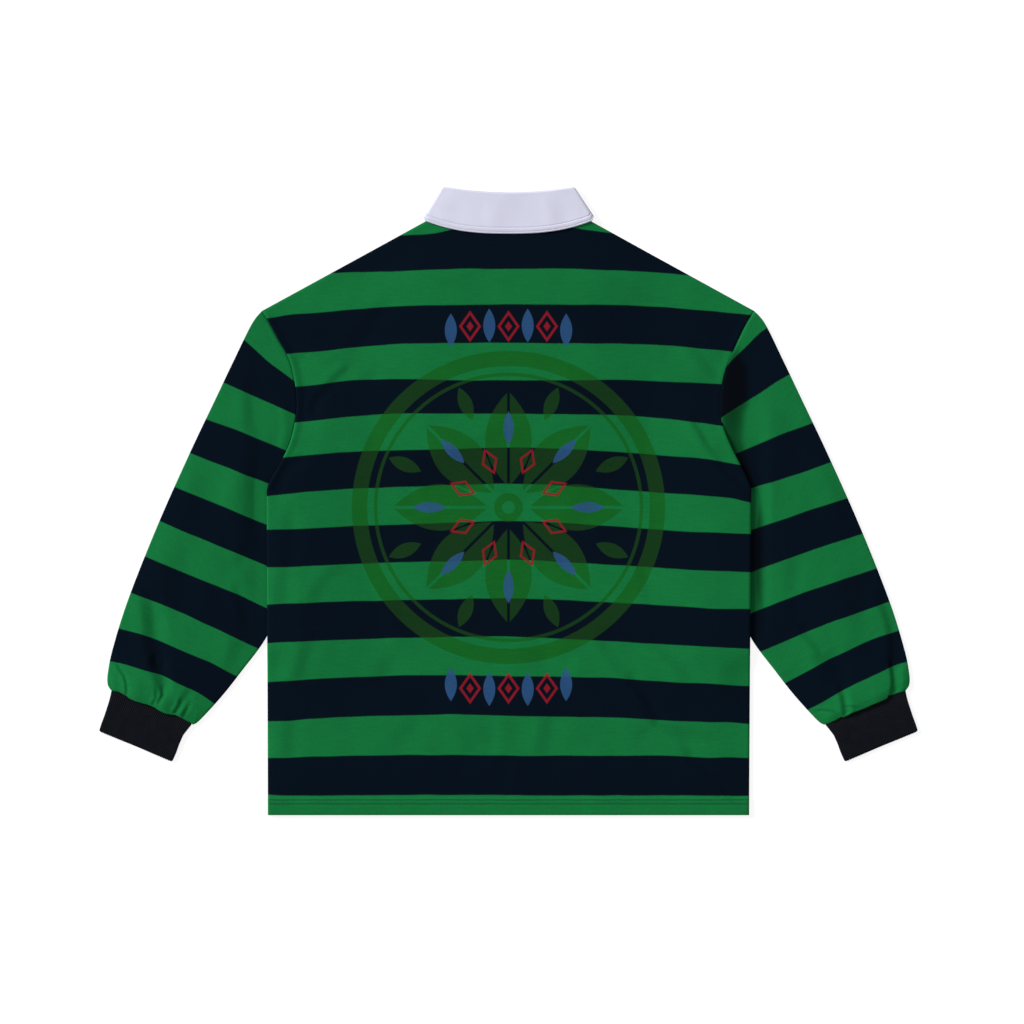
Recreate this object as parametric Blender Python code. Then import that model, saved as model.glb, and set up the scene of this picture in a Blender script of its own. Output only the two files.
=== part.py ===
"""A long-sleeved polo shirt of the rugby kind, laid face down on a flat surface.

The back panel lies on top, +Y runs from the hem to the collar and +X to the right of that view. The origin
is on the surface, under the middle of the whole garment. Every size is in millimetres, and build_object
turns it to metres. The cloth is a wall everywhere: panels are plates that follow a height, sleeves and
cuffs are flattened tubes, and the collar is a folded band that runs round the neck.
"""
from collections import namedtuple
from math import cos, exp, hypot, pi, radians, sin

import bmesh
import bpy

MM = 0.001

# Driving dimensions, seen from above
HEM_Y = -392.5
FOLD_Y = 392.5
HEM_OUT = 300.6
UNDERARM_Y = 13.75
SHOULDER_Y = 237.5
NECK_OUT = 87.5
NECK_Y = 358.0
BACK_NECK_DIP = 14.2
FRONT_NECK_DIP = 85.5

# Cloth
WALL = 1.2
COLLAR_WALL = 1.6
CUFF_WALL = 1.7
SEAM_GAP = 0.3
LAYER_GAP = 0.5
HEM_DEPTH = 20.0
HEM_EXTRA = 0.6
HEM_STEP = 3.0

# A soft ramp from 0 to 1 that starts at a place and is so long. A negative length runs the other way.
Ramp = namedtuple("Ramp", "start length")

# The armhole's seam, from the underarm up to the shoulder tip
Armhole = namedtuple("Armhole", "up left right")
ARMHOLE = [
    Armhole(0.0, 301.9, 303.1),
    Armhole(12.0, 297.4, 299.3),
    Armhole(32.0, 286.0, 289.4),
    Armhole(56.0, 274.3, 277.5),
    Armhole(80.0, 267.8, 268.5),
    Armhole(110.0, 264.6, 265.6),
    Armhole(140.0, 268.1, 269.4),
    Armhole(165.0, 274.9, 277.4),
    Armhole(188.0, 287.8, 287.1),
    Armhole(208.0, 298.4, 297.1),
    Armhole(223.75, 308.1, 306.9),
]
# The share of the neck's dip that the panel's rows have bent to at the shoulder tip
TIP_BEND = 0.14
TIP_BEND_RAMP = Ramp(150.0, 74.0)

# The sleeve's two edges. Both run from the armhole to the cuff's seam.
Edge = namedtuple("Edge", "out y")
SLEEVE_OUTER = [
    Edge(321.0, 221.0),
    Edge(343.0, 176.3),
    Edge(364.4, 131.3),
    Edge(400.0, 56.3),
    Edge(440.0, -33.8),
    Edge(475.6, -123.8),
    Edge(494.4, -183.8),
    Edge(500.6, -213.8),
    Edge(501.0, -228.8),
    Edge(496.9, -236.3),
]
SLEEVE_INNER = [
    Edge(297.0, -10.0),
    Edge(286.0, -45.0),
    Edge(279.0, -85.0),
    Edge(283.0, -125.0),
    Edge(303.1, -171.3),
    Edge(334.4, -213.8),
    Edge(358.1, -243.8),
    Edge(385.6, -273.8),
    Edge(394.6, -279.5),
]
SLEEVE_STATIONS = [0.0, 0.05, 0.12, 0.2, 0.3, 0.4, 0.5, 0.6, 0.7, 0.78, 0.85, 0.9, 0.935, 0.965, 0.985, 1.0]
SLEEVE_LENGTH = 430.0
EDGE_INSET = 2.2

# The room in a sleeve: across it, out from the body, down it from the armhole and up it from the cuff
SLEEVE_LOFT = 2.6
SLEEVE_LOFT_ROUND = 0.7
SLEEVE_LOFT_RAMP = Ramp(0.0, 0.3)
SLEEVE_CLEAR_RAMP = Ramp(308.0, 26.0)
PUFF = 2.4
PUFF_ROUND = 0.5
PUFF_RAMP = Ramp(70.0, -60.0)
SEAM_PINCH = 0.55
SEAM_PINCH_RAMP = Ramp(14.0, -14.0)
GATHER_EDGE = 3.0

# Gathers at the cuff: across runs from the outer edge to the inner one, and a negative height is a trough
Gather = namedtuple("Gather", "across width height length")
GATHERS = {
    "left": [
        Gather(0.08, 5.0, 1.0, 40.0),
        Gather(0.19, 4.5, -1.6, 34.0),
        Gather(0.33, 8.0, 1.6, 55.0),
        Gather(0.51, 7.0, -2.8, 62.0),
        Gather(0.64, 6.0, 1.8, 45.0),
        Gather(0.78, 5.0, -2.4, 42.0),
        Gather(0.86, 4.0, 1.2, 28.0),
        Gather(0.93, 3.5, -1.2, 22.0),
    ],
    "right": [
        Gather(0.09, 6.0, 1.8, 58.0),
        Gather(0.18, 4.5, -2.8, 60.0),
        Gather(0.31, 8.0, 1.4, 44.0),
        Gather(0.47, 7.0, 0.9, 38.0),
        Gather(0.57, 4.5, -1.4, 26.0),
        Gather(0.66, 5.0, 1.6, 34.0),
        Gather(0.75, 5.5, -2.6, 46.0),
        Gather(0.88, 5.0, 1.2, 30.0),
    ],
}

# Cuff corners, as out and y
CUFF_SEAM_OUTER = Edge(496.3, -236.8)
CUFF_SEAM_INNER = Edge(394.6, -279.9)
CUFF_END_OUTER = Edge(510.6, -286.2)
CUFF_END_INNER = Edge(420.0, -326.0)
CUFF_RIBS = 44
CUFF_RIB_HEIGHT = 0.5
CUFF_STEPS = 2
# How far the cuff's two sides curve in at its middle
CUFF_WAIST_OUTER = 2.0
CUFF_WAIST_INNER = 2.8

# Body folds on the back: the middle, the way they run, and the height, negative for a trough
Fold = namedtuple("Fold", "x y angle length width height")
FOLDS = [
    Fold(-215.0, 172.0, 52.0, 70.0, 20.0, -1.1),
    Fold(-175.0, 150.0, 50.0, 90.0, 26.0, 0.9),
    Fold(-236.0, -70.0, 72.0, 90.0, 26.0, -0.9),
    Fold(-205.0, -105.0, 58.0, 80.0, 26.0, 0.8),
    Fold(-262.0, -255.0, 76.0, 120.0, 24.0, -1.2),
    Fold(-120.0, -290.0, 84.0, 95.0, 30.0, -1.0),
    Fold(-60.0, -250.0, 80.0, 120.0, 34.0, 0.9),
    Fold(60.0, -300.0, 88.0, 80.0, 30.0, -0.8),
    Fold(212.0, -285.0, -50.0, 170.0, 20.0, -1.4),
    Fold(238.0, -255.0, -50.0, 150.0, 24.0, 1.0),
    Fold(196.0, -195.0, -60.0, 90.0, 26.0, -1.0),
    Fold(246.0, 85.0, -48.0, 60.0, 20.0, -1.1),
    Fold(215.0, 185.0, -30.0, 80.0, 22.0, -0.9),
    Fold(120.0, -40.0, -20.0, 140.0, 34.0, 0.7),
]

FOLD_SPREAD = 1.6

# How far the front panel is lifted by the sleeves, the collar's leaves, and the placket with its buttons
SLEEVE_LIFT = 3.6
SLEEVE_LIFT_LOW = Ramp(-216.0, 34.0)
SLEEVE_LIFT_HIGH = Ramp(112.0, -40.0)
SLEEVE_LIFT_SIDE = Ramp(232.0, 34.0)
LEAF_LIFT = 1.9
LEAF_LIFT_SIDE = Ramp(172.0, -42.0)
LEAF_LIFT_LOW = Ramp(200.0, 30.0)
PLACKET_LIFT = 4.2
PLACKET_LIFT_SIDE = Ramp(60.0, -34.0)
PLACKET_LIFT_LOW = Ramp(70.0, 30.0)
COLLAR_STAND_DROP = 0.51
COLLAR_STAND_RAMP = Ramp(244.0, 26.0)

# How far the back is lifted over the neck opening, and the loft of its cloth away from its edges
NECK_LIFT = 2.2
NECK_LIFT_HIGH = Ramp(330.0, -60.0)
NECK_LIFT_SIDE = Ramp(190.0, -100.0)
NECK_LIFT_LOW = Ramp(0.0, 70.0)
BACK_LOFT = 1.4
LOFT_SIDE = Ramp(292.0, -70.0)
LOFT_HEM = Ramp(HEM_Y + HEM_DEPTH, 60.0)
LOFT_SHOULDER = Ramp(-14.0, -70.0)

# Collar: a fold of two plies on each side of one height, with its widths at neckline, fold and leaf edge
COLLAR_MIDDLE = 3.7
STAND_RADIUS = 0.2
LEAF_RADIUS = 2.1
COLLAR_HALF = {"neck": 85.7, "fold": 78.2, "leaf": 101.9}
COLLAR_SIDE_Y = {"neck": NECK_Y + SEAM_GAP, "fold": FOLD_Y, "leaf": 349.4}
COLLAR_BACK_DIP = {"neck": BACK_NECK_DIP, "fold": 6.5, "leaf": 15.7}
COLLAR_BACK_BOW = {"neck": 2.0, "fold": 2.0, "leaf": 2.6}
COLLAR_FRONT_DIP = {"neck": FRONT_NECK_DIP, "fold": 88.7}
COLLAR_POINT = Edge(50.0, 247.5)
POINT_BOW = Edge(1.3, 0.9)
COLLAR_OPENING = 0.5
STAND_SHARES = (0.0, 0.5, 0.94)
CROWN_SHARE = 0.99
CROWN_INSIDE = 0.965
CROWN_BEND = 0.2
LEAF_SHARES = (0.06, 0.35, 0.7, 1.0)
BACK_STATIONS = [0.0, 0.12, 0.26, 0.42, 0.58, 0.74, 0.88, 1.0]
FRONT_STATIONS = [0.15, 0.32, 0.5, 0.68, 0.84, 1.0]
TURN_STEPS = 5

# Placket and buttons on the front
PLACKET_HALF = 16.0
PLACKET_TOP = 270.0
PLACKET_LENGTH = 158.0
PLACKET_WALL = 1.4
PLACKET_GAP = 0.5
PLACKET_ROWS = 9
BUTTON_RADIUS = 6.0
BUTTON_HEIGHT = 1.9
BUTTON_EDGE = 0.5
BUTTON_SIDES = 20
BUTTONS = {"button_upper": 222.0, "button_lower": 150.0}

# Grid lines of the body panels
COLUMNS = [0.0, 0.04, 0.08, 0.133, 0.193, 0.283, 0.383, 0.5, 0.617, 0.717, 0.8, 0.873, 0.94, 1.0]
BODY_ROWS = [-392.5, -372.5, -369.5, -335.0, -300.0, -262.0, -215.0, -180.0, -140.0, -100.0, -60.0, -20.0]
SHOULDER_STEPS = 5

COLOURS = {
    "jersey": (0.010, 0.165, 0.042),
    "twill": (0.65, 0.65, 0.77),
    "rib": (0.008, 0.009, 0.013),
    "rubber": (0.75, 0.75, 0.76),
}
ROUGHNESS = {"jersey": 0.9, "twill": 0.9, "rib": 0.9, "rubber": 0.55}
SHARP_ANGLE = 40.0


def smooth(value):
    """A soft step from 0 to 1."""
    value = min(1.0, max(0.0, value))
    return value * value * (3.0 - 2.0 * value)


def along_ramp(value, ramp):
    """How far up a ramp a value is."""
    return smooth((value - ramp.start) / ramp.length)


def mix(a, b, share):
    return a + (b - a) * share


def mix_points(a, b, share):
    return (mix(a[0], b[0], share), mix(a[1], b[1], share))


def sleeve_lift(x, y):
    """The body's height over the stretch of sleeve that runs under its side."""
    ends = along_ramp(y, SLEEVE_LIFT_LOW) * along_ramp(y, SLEEVE_LIFT_HIGH)
    return SLEEVE_LIFT * ends * along_ramp(abs(x), SLEEVE_LIFT_SIDE)


def leaf_lift(x, y):
    """The height over the collar's leaves, which lie under the front."""
    return LEAF_LIFT * along_ramp(abs(x), LEAF_LIFT_SIDE) * along_ramp(y, LEAF_LIFT_LOW)


def placket_lift(x, y):
    """The height over the placket and its buttons."""
    along = along_ramp(y, PLACKET_LIFT_LOW) * (1.0 - COLLAR_STAND_DROP * along_ramp(y, COLLAR_STAND_RAMP))
    return PLACKET_LIFT * along_ramp(abs(x), PLACKET_LIFT_SIDE) * along


def front_height(x, y):
    """The front panel's underside."""
    return max(sleeve_lift(x, y), leaf_lift(x, y), placket_lift(x, y))


def shoulder_line(x):
    """The shoulder's edge above a place on the panel."""
    slope = (NECK_Y - SHOULDER_Y) / (ARMHOLE[-1].left - NECK_OUT)
    return min(NECK_Y, NECK_Y - slope * (abs(x) - NECK_OUT))


def fold_height(fold, x, y):
    """One soft fold: round across, fading to its ends."""
    turn = radians(fold.angle)
    along = (x - fold.x) * cos(turn) + (y - fold.y) * sin(turn)
    across = (y - fold.y) * cos(turn) - (x - fold.x) * sin(turn)
    return fold.height * exp(-(across / fold.width * FOLD_SPREAD) ** 2 - (along / fold.length * FOLD_SPREAD) ** 2)


def back_height(x, y):
    """The back panel's underside."""
    neck = mix(NECK_LIFT, PLACKET_LIFT, along_ramp(y, NECK_LIFT_HIGH))
    over_front = neck * along_ramp(abs(x), NECK_LIFT_SIDE) * along_ramp(y, NECK_LIFT_LOW)
    base = max(front_height(x, y), over_front) + hem_wall(y) + LAYER_GAP
    inside = along_ramp(abs(x), LOFT_SIDE) * along_ramp(y, LOFT_HEM)
    inside *= along_ramp(y - shoulder_line(x), LOFT_SHOULDER)
    folds = sum(fold_height(fold, x, y) for fold in FOLDS)
    return base + (BACK_LOFT + max(folds, -BACK_LOFT)) * inside


def hem_wall(y):
    """The panel's thickness, more in the turned-up hem."""
    return WALL + HEM_EXTRA * smooth((HEM_Y + HEM_DEPTH + HEM_STEP - y) / HEM_STEP)


def side_points():
    """The panel's side from the hem to the neck, as y, left, right and the share of the neck's dip."""
    points = []
    for y in BODY_ROWS:
        share = (y - HEM_Y) / (UNDERARM_Y - HEM_Y)
        left = mix(HEM_OUT, ARMHOLE[0].left, share)
        points.append((y, left, mix(HEM_OUT, ARMHOLE[0].right, share), 0.0))
    half_gap = SEAM_GAP / 2
    for row in ARMHOLE:
        bend = TIP_BEND * along_ramp(row.up, TIP_BEND_RAMP)
        points.append((UNDERARM_Y + row.up, row.left - half_gap, row.right - half_gap, bend))
    for step in range(1, SHOULDER_STEPS + 1):
        share = step / SHOULDER_STEPS
        y = mix(SHOULDER_Y, NECK_Y, share)
        left = mix(ARMHOLE[-1].left, NECK_OUT, share)
        points.append((y, left, mix(ARMHOLE[-1].right, NECK_OUT, share), mix(TIP_BEND, 1.0, share)))
    return points


def panel_rows(neck_dip):
    """Plan points of a body panel, a row for each grid line across it."""
    rows = []
    for y, left, right, bend in side_points():
        row = []
        for column in [-c for c in reversed(COLUMNS[1:])] + COLUMNS:
            x = column * (right if column > 0 else left)
            row.append((x, y - neck_dip * bend * (1.0 - column * column)))
        rows.append(row)
    return rows


def build_object(name, bm, slot):
    """Turns a mesh in millimetres into a named object in metres, with its faces out."""
    bmesh.ops.scale(bm, vec=(MM, MM, MM), verts=bm.verts)
    bmesh.ops.recalc_face_normals(bm, faces=bm.faces)
    mesh = bpy.data.meshes.new(name)
    bm.to_mesh(mesh)
    bm.free()
    mesh.shade_smooth()
    mesh.set_sharp_from_angle(angle=radians(SHARP_ANGLE))
    mesh.materials.append(material(slot))
    item = bpy.data.objects.new(name, mesh)
    bpy.context.scene.collection.objects.link(item)
    return item


def material(slot):
    """The piece's plain finish."""
    made = bpy.data.materials.get(slot)
    if made is None:
        made = bpy.data.materials.new(slot)
        made.use_nodes = True
        shader = made.node_tree.nodes["Principled BSDF"]
        shader.inputs["Base Color"].default_value = (*COLOURS[slot], 1.0)
        shader.inputs["Roughness"].default_value = ROUGHNESS[slot]
        shader.inputs["Metallic"].default_value = 0.0
    return made


def plate(bm, rows, height, wall):
    """A closed plate over a grid of plan points, with its underside at height(x, y)."""
    low = [[bm.verts.new((x, y, height(x, y))) for x, y in row] for row in rows]
    high = [[bm.verts.new((x, y, height(x, y) + wall(y))) for x, y in row] for row in rows]
    last_row, last = len(rows) - 1, len(rows[0]) - 1
    for i in range(last_row):
        for j in range(last):
            for grid in (low, high):
                bm.faces.new((grid[i][j], grid[i][j + 1], grid[i + 1][j + 1], grid[i + 1][j]))
        for j in (0, last):
            bm.faces.new((low[i][j], low[i + 1][j], high[i + 1][j], high[i][j]))
    for j in range(last):
        for i in (0, last_row):
            bm.faces.new((low[i][j], low[i][j + 1], high[i][j + 1], high[i][j]))


def join_rings(bm, first, second):
    """Faces between two closed rings of as many points."""
    count = len(first)
    for i in range(count):
        bm.faces.new((first[i], first[(i + 1) % count], second[(i + 1) % count], second[i]))


def spline_point(points, place):
    """A point on a smooth curve through the points, at a place counted in points."""
    last = len(points) - 1
    index = min(int(place), last - 1)
    share = place - index
    before, start, end, after = (points[min(max(index + k, 0), last)] for k in (-1, 0, 1, 2))
    weights = (
        (-share + 2 * share**2 - share**3) / 2,
        (2 - 5 * share**2 + 3 * share**3) / 2,
        (share + 4 * share**2 - 3 * share**3) / 2,
        (-(share**2) + share**3) / 2,
    )
    picked = (before, start, end, after)
    return tuple(sum(w * p[axis] for w, p in zip(weights, picked)) for axis in (0, 1))


def even_curve(points, shares):
    """Points at shares of the length of the smooth curve through the given points."""
    steps = 12 * (len(points) - 1)
    fine = [spline_point(points, k * (len(points) - 1) / steps) for k in range(steps + 1)]
    lengths = [0.0]
    for a, b in zip(fine, fine[1:]):
        lengths.append(lengths[-1] + hypot(b[0] - a[0], b[1] - a[1]))
    picked = []
    for share in shares:
        wanted = share * lengths[-1]
        k = max(i for i in range(len(fine) - 1) if lengths[i] <= wanted + 1e-9)
        picked.append(mix_points(fine[k], fine[k + 1], (wanted - lengths[k]) / (lengths[k + 1] - lengths[k])))
    return picked


def armhole_line(side):
    """The sleeve's end at the armhole, from the shoulder tip down, with the middles of its stretches."""
    points = []
    for row in reversed(ARMHOLE):
        out = (row.left if side == "left" else row.right) + SEAM_GAP / 2
        point = (out, UNDERARM_Y + row.up)
        if points:
            points.append(mix_points(points[-1], point, 0.5))
        points.append(point)
    return points


def sleeve_plan(side):
    """Plan points of a sleeve, a row for each station from the armhole to the cuff."""
    armhole = armhole_line(side)
    last = len(armhole) - 1
    outer = even_curve([armhole[0], *SLEEVE_OUTER], SLEEVE_STATIONS)
    inner = even_curve([armhole[-1], *SLEEVE_INNER], SLEEVE_STATIONS)
    plan = []
    for station, out_point, in_point in zip(SLEEVE_STATIONS, outer, inner):
        row = []
        for j, start in enumerate(armhole):
            u = j / last
            end = mix_points(SLEEVE_OUTER[-1], SLEEVE_INNER[-1], u)
            ruled = mix_points(start, end, station)
            at_outer = mix_points(armhole[0], SLEEVE_OUTER[-1], station)
            at_inner = mix_points(armhole[-1], SLEEVE_INNER[-1], station)
            row.append(tuple(
                ruled[k] + (1 - u) * (out_point[k] - at_outer[k]) + u * (in_point[k] - at_inner[k])
                for k in (0, 1)
            ))
        plan.append(row)
    return plan


def sleeve_space(side, u, station, out):
    """The room inside the sleeve: its loft and the gathers at the cuff."""
    clear = along_ramp(out, SLEEVE_CLEAR_RAMP)
    loft = SLEEVE_LOFT * sin(pi * u) ** SLEEVE_LOFT_ROUND * along_ramp(station, SLEEVE_LOFT_RAMP) * clear
    from_cuff = (1.0 - station) * SLEEVE_LENGTH
    puff = PUFF * sin(pi * u) ** PUFF_ROUND * along_ramp(from_cuff, PUFF_RAMP) * clear
    seam = hypot(SLEEVE_OUTER[-1].out - SLEEVE_INNER[-1].out, SLEEVE_OUTER[-1].y - SLEEVE_INNER[-1].y)
    gathers = 0.0
    for gather in GATHERS[side]:
        near = exp(-(((u - gather.across) * seam / gather.width) ** 2))
        near *= smooth(1.0 - from_cuff / gather.length) * min(1.0, sin(pi * u) * GATHER_EDGE)
        gathers += gather.height * near
    at_seam = 1.0 - SEAM_PINCH * along_ramp(from_cuff, SEAM_PINCH_RAMP)
    return LAYER_GAP + max(0.0, (loft + puff) * at_seam + gathers)


def make_sleeve(side):
    """A flattened tube with a wall, from the armhole to the cuff."""
    sign = -1 if side == "left" else 1
    bm = bmesh.new()
    outside, inside = [], []
    for station, row in zip(SLEEVE_STATIONS, sleeve_plan(side)):
        last = len(row) - 1
        width = hypot(row[-1][0] - row[0][0], row[-1][1] - row[0][1])
        inset = EDGE_INSET / width
        middle = WALL + LAYER_GAP / 2
        space = [sleeve_space(side, j / last, station, row[j][0]) for j in range(last + 1)]
        first = mix_points(row[0], row[-1], inset)
        final = mix_points(row[-1], row[0], inset)
        top = range(1, last)
        rings = (
            [(row[0], middle)] + [(row[j], 2 * WALL + space[j]) for j in top]
            + [(row[last], middle)] + [(row[j], 0.0) for j in reversed(top)],
            [(first, middle)] + [(row[j], WALL + space[j]) for j in top]
            + [(final, middle)] + [(row[j], WALL) for j in reversed(top)],
        )
        for ring, kept in zip(rings, (outside, inside)):
            kept.append([bm.verts.new((sign * plan[0], plan[1], z)) for plan, z in ring])
    for kept in (outside, inside):
        for first, second in zip(kept, kept[1:]):
            join_rings(bm, first, second)
    for end in (0, -1):
        join_rings(bm, outside[end], inside[end])
    return build_object(f"sleeve_{side}", bm, "jersey")


def cuff_ring(share, points, rise, inset):
    """Plan places and heights round a cuff at a share of its length."""
    waist = sin(pi * share)
    corners = (mix_points(CUFF_SEAM_OUTER, CUFF_END_OUTER, share), mix_points(CUFF_SEAM_INNER, CUFF_END_INNER, share))
    width = hypot(corners[1][0] - corners[0][0], corners[1][1] - corners[0][1])
    outer = mix_points(*corners, waist * CUFF_WAIST_OUTER / width)
    inner = mix_points(*corners, 1.0 - waist * CUFF_WAIST_INNER / width)
    top = 2 * CUFF_WALL + LAYER_GAP
    ring = [(mix_points(outer, inner, inset / width), top / 2)]
    for j in range(1, points):
        ring.append((mix_points(outer, inner, j / points), top - rise(j)))
    ring.append((mix_points(inner, outer, inset / width), top / 2))
    for j in range(points - 1, 0, -1):
        ring.append((mix_points(outer, inner, j / points), rise(j)))
    return ring


def make_cuff(side):
    """A flattened tube with ribs raised on its outside and a plain inside."""
    sign = -1 if side == "left" else 1
    bm = bmesh.new()
    outside, inside = [], []
    for step in range(CUFF_STEPS + 1):
        share = step / CUFF_STEPS
        ribbed = cuff_ring(share, 2 * CUFF_RIBS, lambda j: CUFF_RIB_HEIGHT * (1 - j % 2), 0.0)
        plain = cuff_ring(share, CUFF_RIBS, lambda j: CUFF_WALL, EDGE_INSET)
        outside.append([bm.verts.new((sign * plan[0], plan[1], z)) for plan, z in ribbed])
        inside.append([bm.verts.new((sign * plan[0], plan[1], z)) for plan, z in plain])
    for kept in (outside, inside):
        for first, second in zip(kept, kept[1:]):
            join_rings(bm, first, second)
    for end in (0, -1):
        ribbed, plain = outside[end], inside[end]
        for i in range(len(plain)):
            following = (i + 1) % len(plain)
            valley, rib, next_valley = ribbed[2 * i], ribbed[2 * i + 1], ribbed[(2 * i + 2) % len(ribbed)]
            bm.faces.new((valley, rib, plain[i]))
            bm.faces.new((rib, next_valley, plain[following]))
            bm.faces.new((plain[i], rib, plain[following]))
    return build_object(f"cuff_{side}", bm, "rib")


def collar_stations():
    """Half the way round the neck: on the back, round the side, then on the front to the opening."""
    stations = [("back", share) for share in BACK_STATIONS]
    stations += [("turn", pi * step / (TURN_STEPS + 1)) for step in range(1, TURN_STEPS + 1)]
    stations += [("front", 0.0)] + [("front", share) for share in FRONT_STATIONS]
    return stations


def collar_point(line, station, radius):
    """A point on one of the collar's lines (neck, fold or leaf) at a distance from the band's middle."""
    where, share = station
    half, side_y = COLLAR_HALF[line], COLLAR_SIDE_Y[line]
    if where == "back":
        dip = COLLAR_BACK_DIP[line] * (1 - share ** COLLAR_BACK_BOW[line])
        return (half * share, side_y - dip, COLLAR_MIDDLE + radius)
    if where == "turn":
        return (half + radius * sin(share), side_y, COLLAR_MIDDLE + radius * cos(share))
    if line == "leaf":
        x = mix(half, COLLAR_POINT.out, share**POINT_BOW.out)
        return (x, mix(side_y, COLLAR_POINT.y, share**POINT_BOW.y), COLLAR_MIDDLE - radius)
    x = mix(half, COLLAR_OPENING, share)
    dip = COLLAR_FRONT_DIP[line] * (1 - (x / half) ** 2)
    return (x, side_y - dip, COLLAR_MIDDLE - radius)


def collar_section(station):
    """The folded band cut across at one station, as two matched lists, outer side and inner side."""
    pairs = []
    inner_stand, outer_stand = STAND_RADIUS, STAND_RADIUS + COLLAR_WALL
    inner_leaf, outer_leaf = LEAF_RADIUS, LEAF_RADIUS + COLLAR_WALL

    def between(first, second, share, radius):
        a = collar_point(first, station, radius)
        b = collar_point(second, station, radius)
        return tuple(mix(a[k], b[k], share) for k in range(3))

    for share in STAND_SHARES:
        pairs.append((between("neck", "fold", share, inner_stand), between("neck", "fold", share, outer_stand)))
    outer_crown = between("neck", "fold", 1.0, (inner_stand + outer_leaf) / 2)
    inner_crown = between("neck", "fold", CROWN_INSIDE, (outer_stand + inner_leaf) / 2)
    low_crown = between("neck", "fold", CROWN_SHARE, mix(inner_stand, outer_leaf, CROWN_BEND))
    high_crown = between("neck", "fold", CROWN_SHARE, mix(inner_stand, outer_leaf, 1.0 - CROWN_BEND))
    pairs.append((low_crown, inner_crown))
    pairs.append((outer_crown, inner_crown))
    pairs.append((high_crown, inner_crown))
    for share in LEAF_SHARES:
        pairs.append((between("fold", "leaf", share, outer_leaf), between("fold", "leaf", share, inner_leaf)))
    return pairs


def make_collar():
    """The whole collar: sections joined from the right opening round the back to the left one."""
    bm = bmesh.new()
    half = [collar_section(station) for station in collar_stations()]
    mirrored = [[tuple((-p[0], p[1], p[2]) for p in pair) for pair in section] for section in half[:0:-1]]
    rings = []
    for section in mirrored + half:
        outer = [bm.verts.new(pair[0]) for pair in section]
        inner = []
        for k, pair in enumerate(section):
            shared = k and pair[1] == section[k - 1][1]
            inner.append(inner[-1] if shared else bm.verts.new(pair[1]))
        rings.append((outer, inner))
    for first, second in zip(rings, rings[1:]):
        for near_side, far_side in zip(first, second):
            for k in range(len(near_side) - 1):
                if near_side[k] is not near_side[k + 1]:
                    bm.faces.new((near_side[k], near_side[k + 1], far_side[k + 1], far_side[k]))
        for k in (0, -1):
            bm.faces.new((first[0][k], second[0][k], second[1][k], first[1][k]))
    for outer, inner in (rings[0], rings[-1]):
        for k in range(len(outer) - 1):
            corners = [outer[k], outer[k + 1], inner[k + 1]]
            if inner[k] is not inner[k + 1]:
                corners.append(inner[k])
            bm.faces.new(corners)
    return build_object("collar", bm, "twill")


def make_panel(name, neck_dip, height):
    """A body panel with its turned-up hem."""
    bm = bmesh.new()
    plate(bm, panel_rows(neck_dip), height, hem_wall)
    return build_object(name, bm, "jersey")


def make_placket():
    """The strip down the front, a little under the panel that it is sewn to."""
    rows = []
    for step in range(PLACKET_ROWS + 1):
        y = PLACKET_TOP - PLACKET_LENGTH * (1 - step / PLACKET_ROWS)
        rows.append([(PLACKET_HALF * share, y) for share in (-1.0, -0.5, 0.0, 0.5, 1.0)])
    bm = bmesh.new()
    plate(bm, rows, lambda x, y: front_height(x, y) - PLACKET_GAP - PLACKET_WALL, lambda y: PLACKET_WALL)
    return build_object("placket", bm, "jersey")


def make_button(name, y):
    """A round button that lies flat, face down."""
    bm = bmesh.new()
    bmesh.ops.create_cone(
        bm, cap_ends=True, segments=BUTTON_SIDES, radius1=BUTTON_RADIUS, radius2=BUTTON_RADIUS, depth=BUTTON_HEIGHT
    )
    rims = [edge for edge in bm.edges if abs(edge.verts[0].co.z - edge.verts[1].co.z) < BUTTON_EDGE]
    bmesh.ops.bevel(bm, geom=rims, offset=BUTTON_EDGE, segments=1, affect="EDGES", profile=0.5)
    bmesh.ops.translate(bm, vec=(0.0, y, BUTTON_HEIGHT / 2), verts=bm.verts)
    return build_object(name, bm, "rubber")


def main():
    for item in list(bpy.context.scene.objects):
        bpy.data.objects.remove(item, do_unlink=True)
    make_panel("front", FRONT_NECK_DIP, front_height)
    make_panel("back", BACK_NECK_DIP, back_height)
    for side in ("left", "right"):
        make_sleeve(side)
        make_cuff(side)
    make_collar()
    make_placket()
    for name, y in BUTTONS.items():
        make_button(name, y)


main()
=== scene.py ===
# A long-sleeved polo shirt laid flat, back upwards: cloth, folds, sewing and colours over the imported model.
from math import cos, copysign, exp, hypot, pi, radians, sin, sqrt

import bmesh
import bpy
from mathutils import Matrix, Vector, noise


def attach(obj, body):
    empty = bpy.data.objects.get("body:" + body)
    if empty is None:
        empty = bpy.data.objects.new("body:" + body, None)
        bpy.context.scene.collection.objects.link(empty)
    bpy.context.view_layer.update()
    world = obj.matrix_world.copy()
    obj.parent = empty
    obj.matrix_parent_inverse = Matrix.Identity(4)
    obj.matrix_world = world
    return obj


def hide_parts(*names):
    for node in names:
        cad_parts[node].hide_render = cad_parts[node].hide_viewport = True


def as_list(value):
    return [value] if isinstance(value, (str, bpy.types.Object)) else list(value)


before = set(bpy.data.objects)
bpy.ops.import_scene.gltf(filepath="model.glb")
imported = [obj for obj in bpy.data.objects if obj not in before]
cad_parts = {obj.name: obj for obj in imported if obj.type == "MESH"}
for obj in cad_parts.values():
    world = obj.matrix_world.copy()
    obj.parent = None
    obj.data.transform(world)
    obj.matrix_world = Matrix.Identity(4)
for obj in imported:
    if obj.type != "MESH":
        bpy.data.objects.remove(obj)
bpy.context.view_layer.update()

mm = 0.001  # every size below is in millimetres, and finishPiece turns a piece to metres


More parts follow.
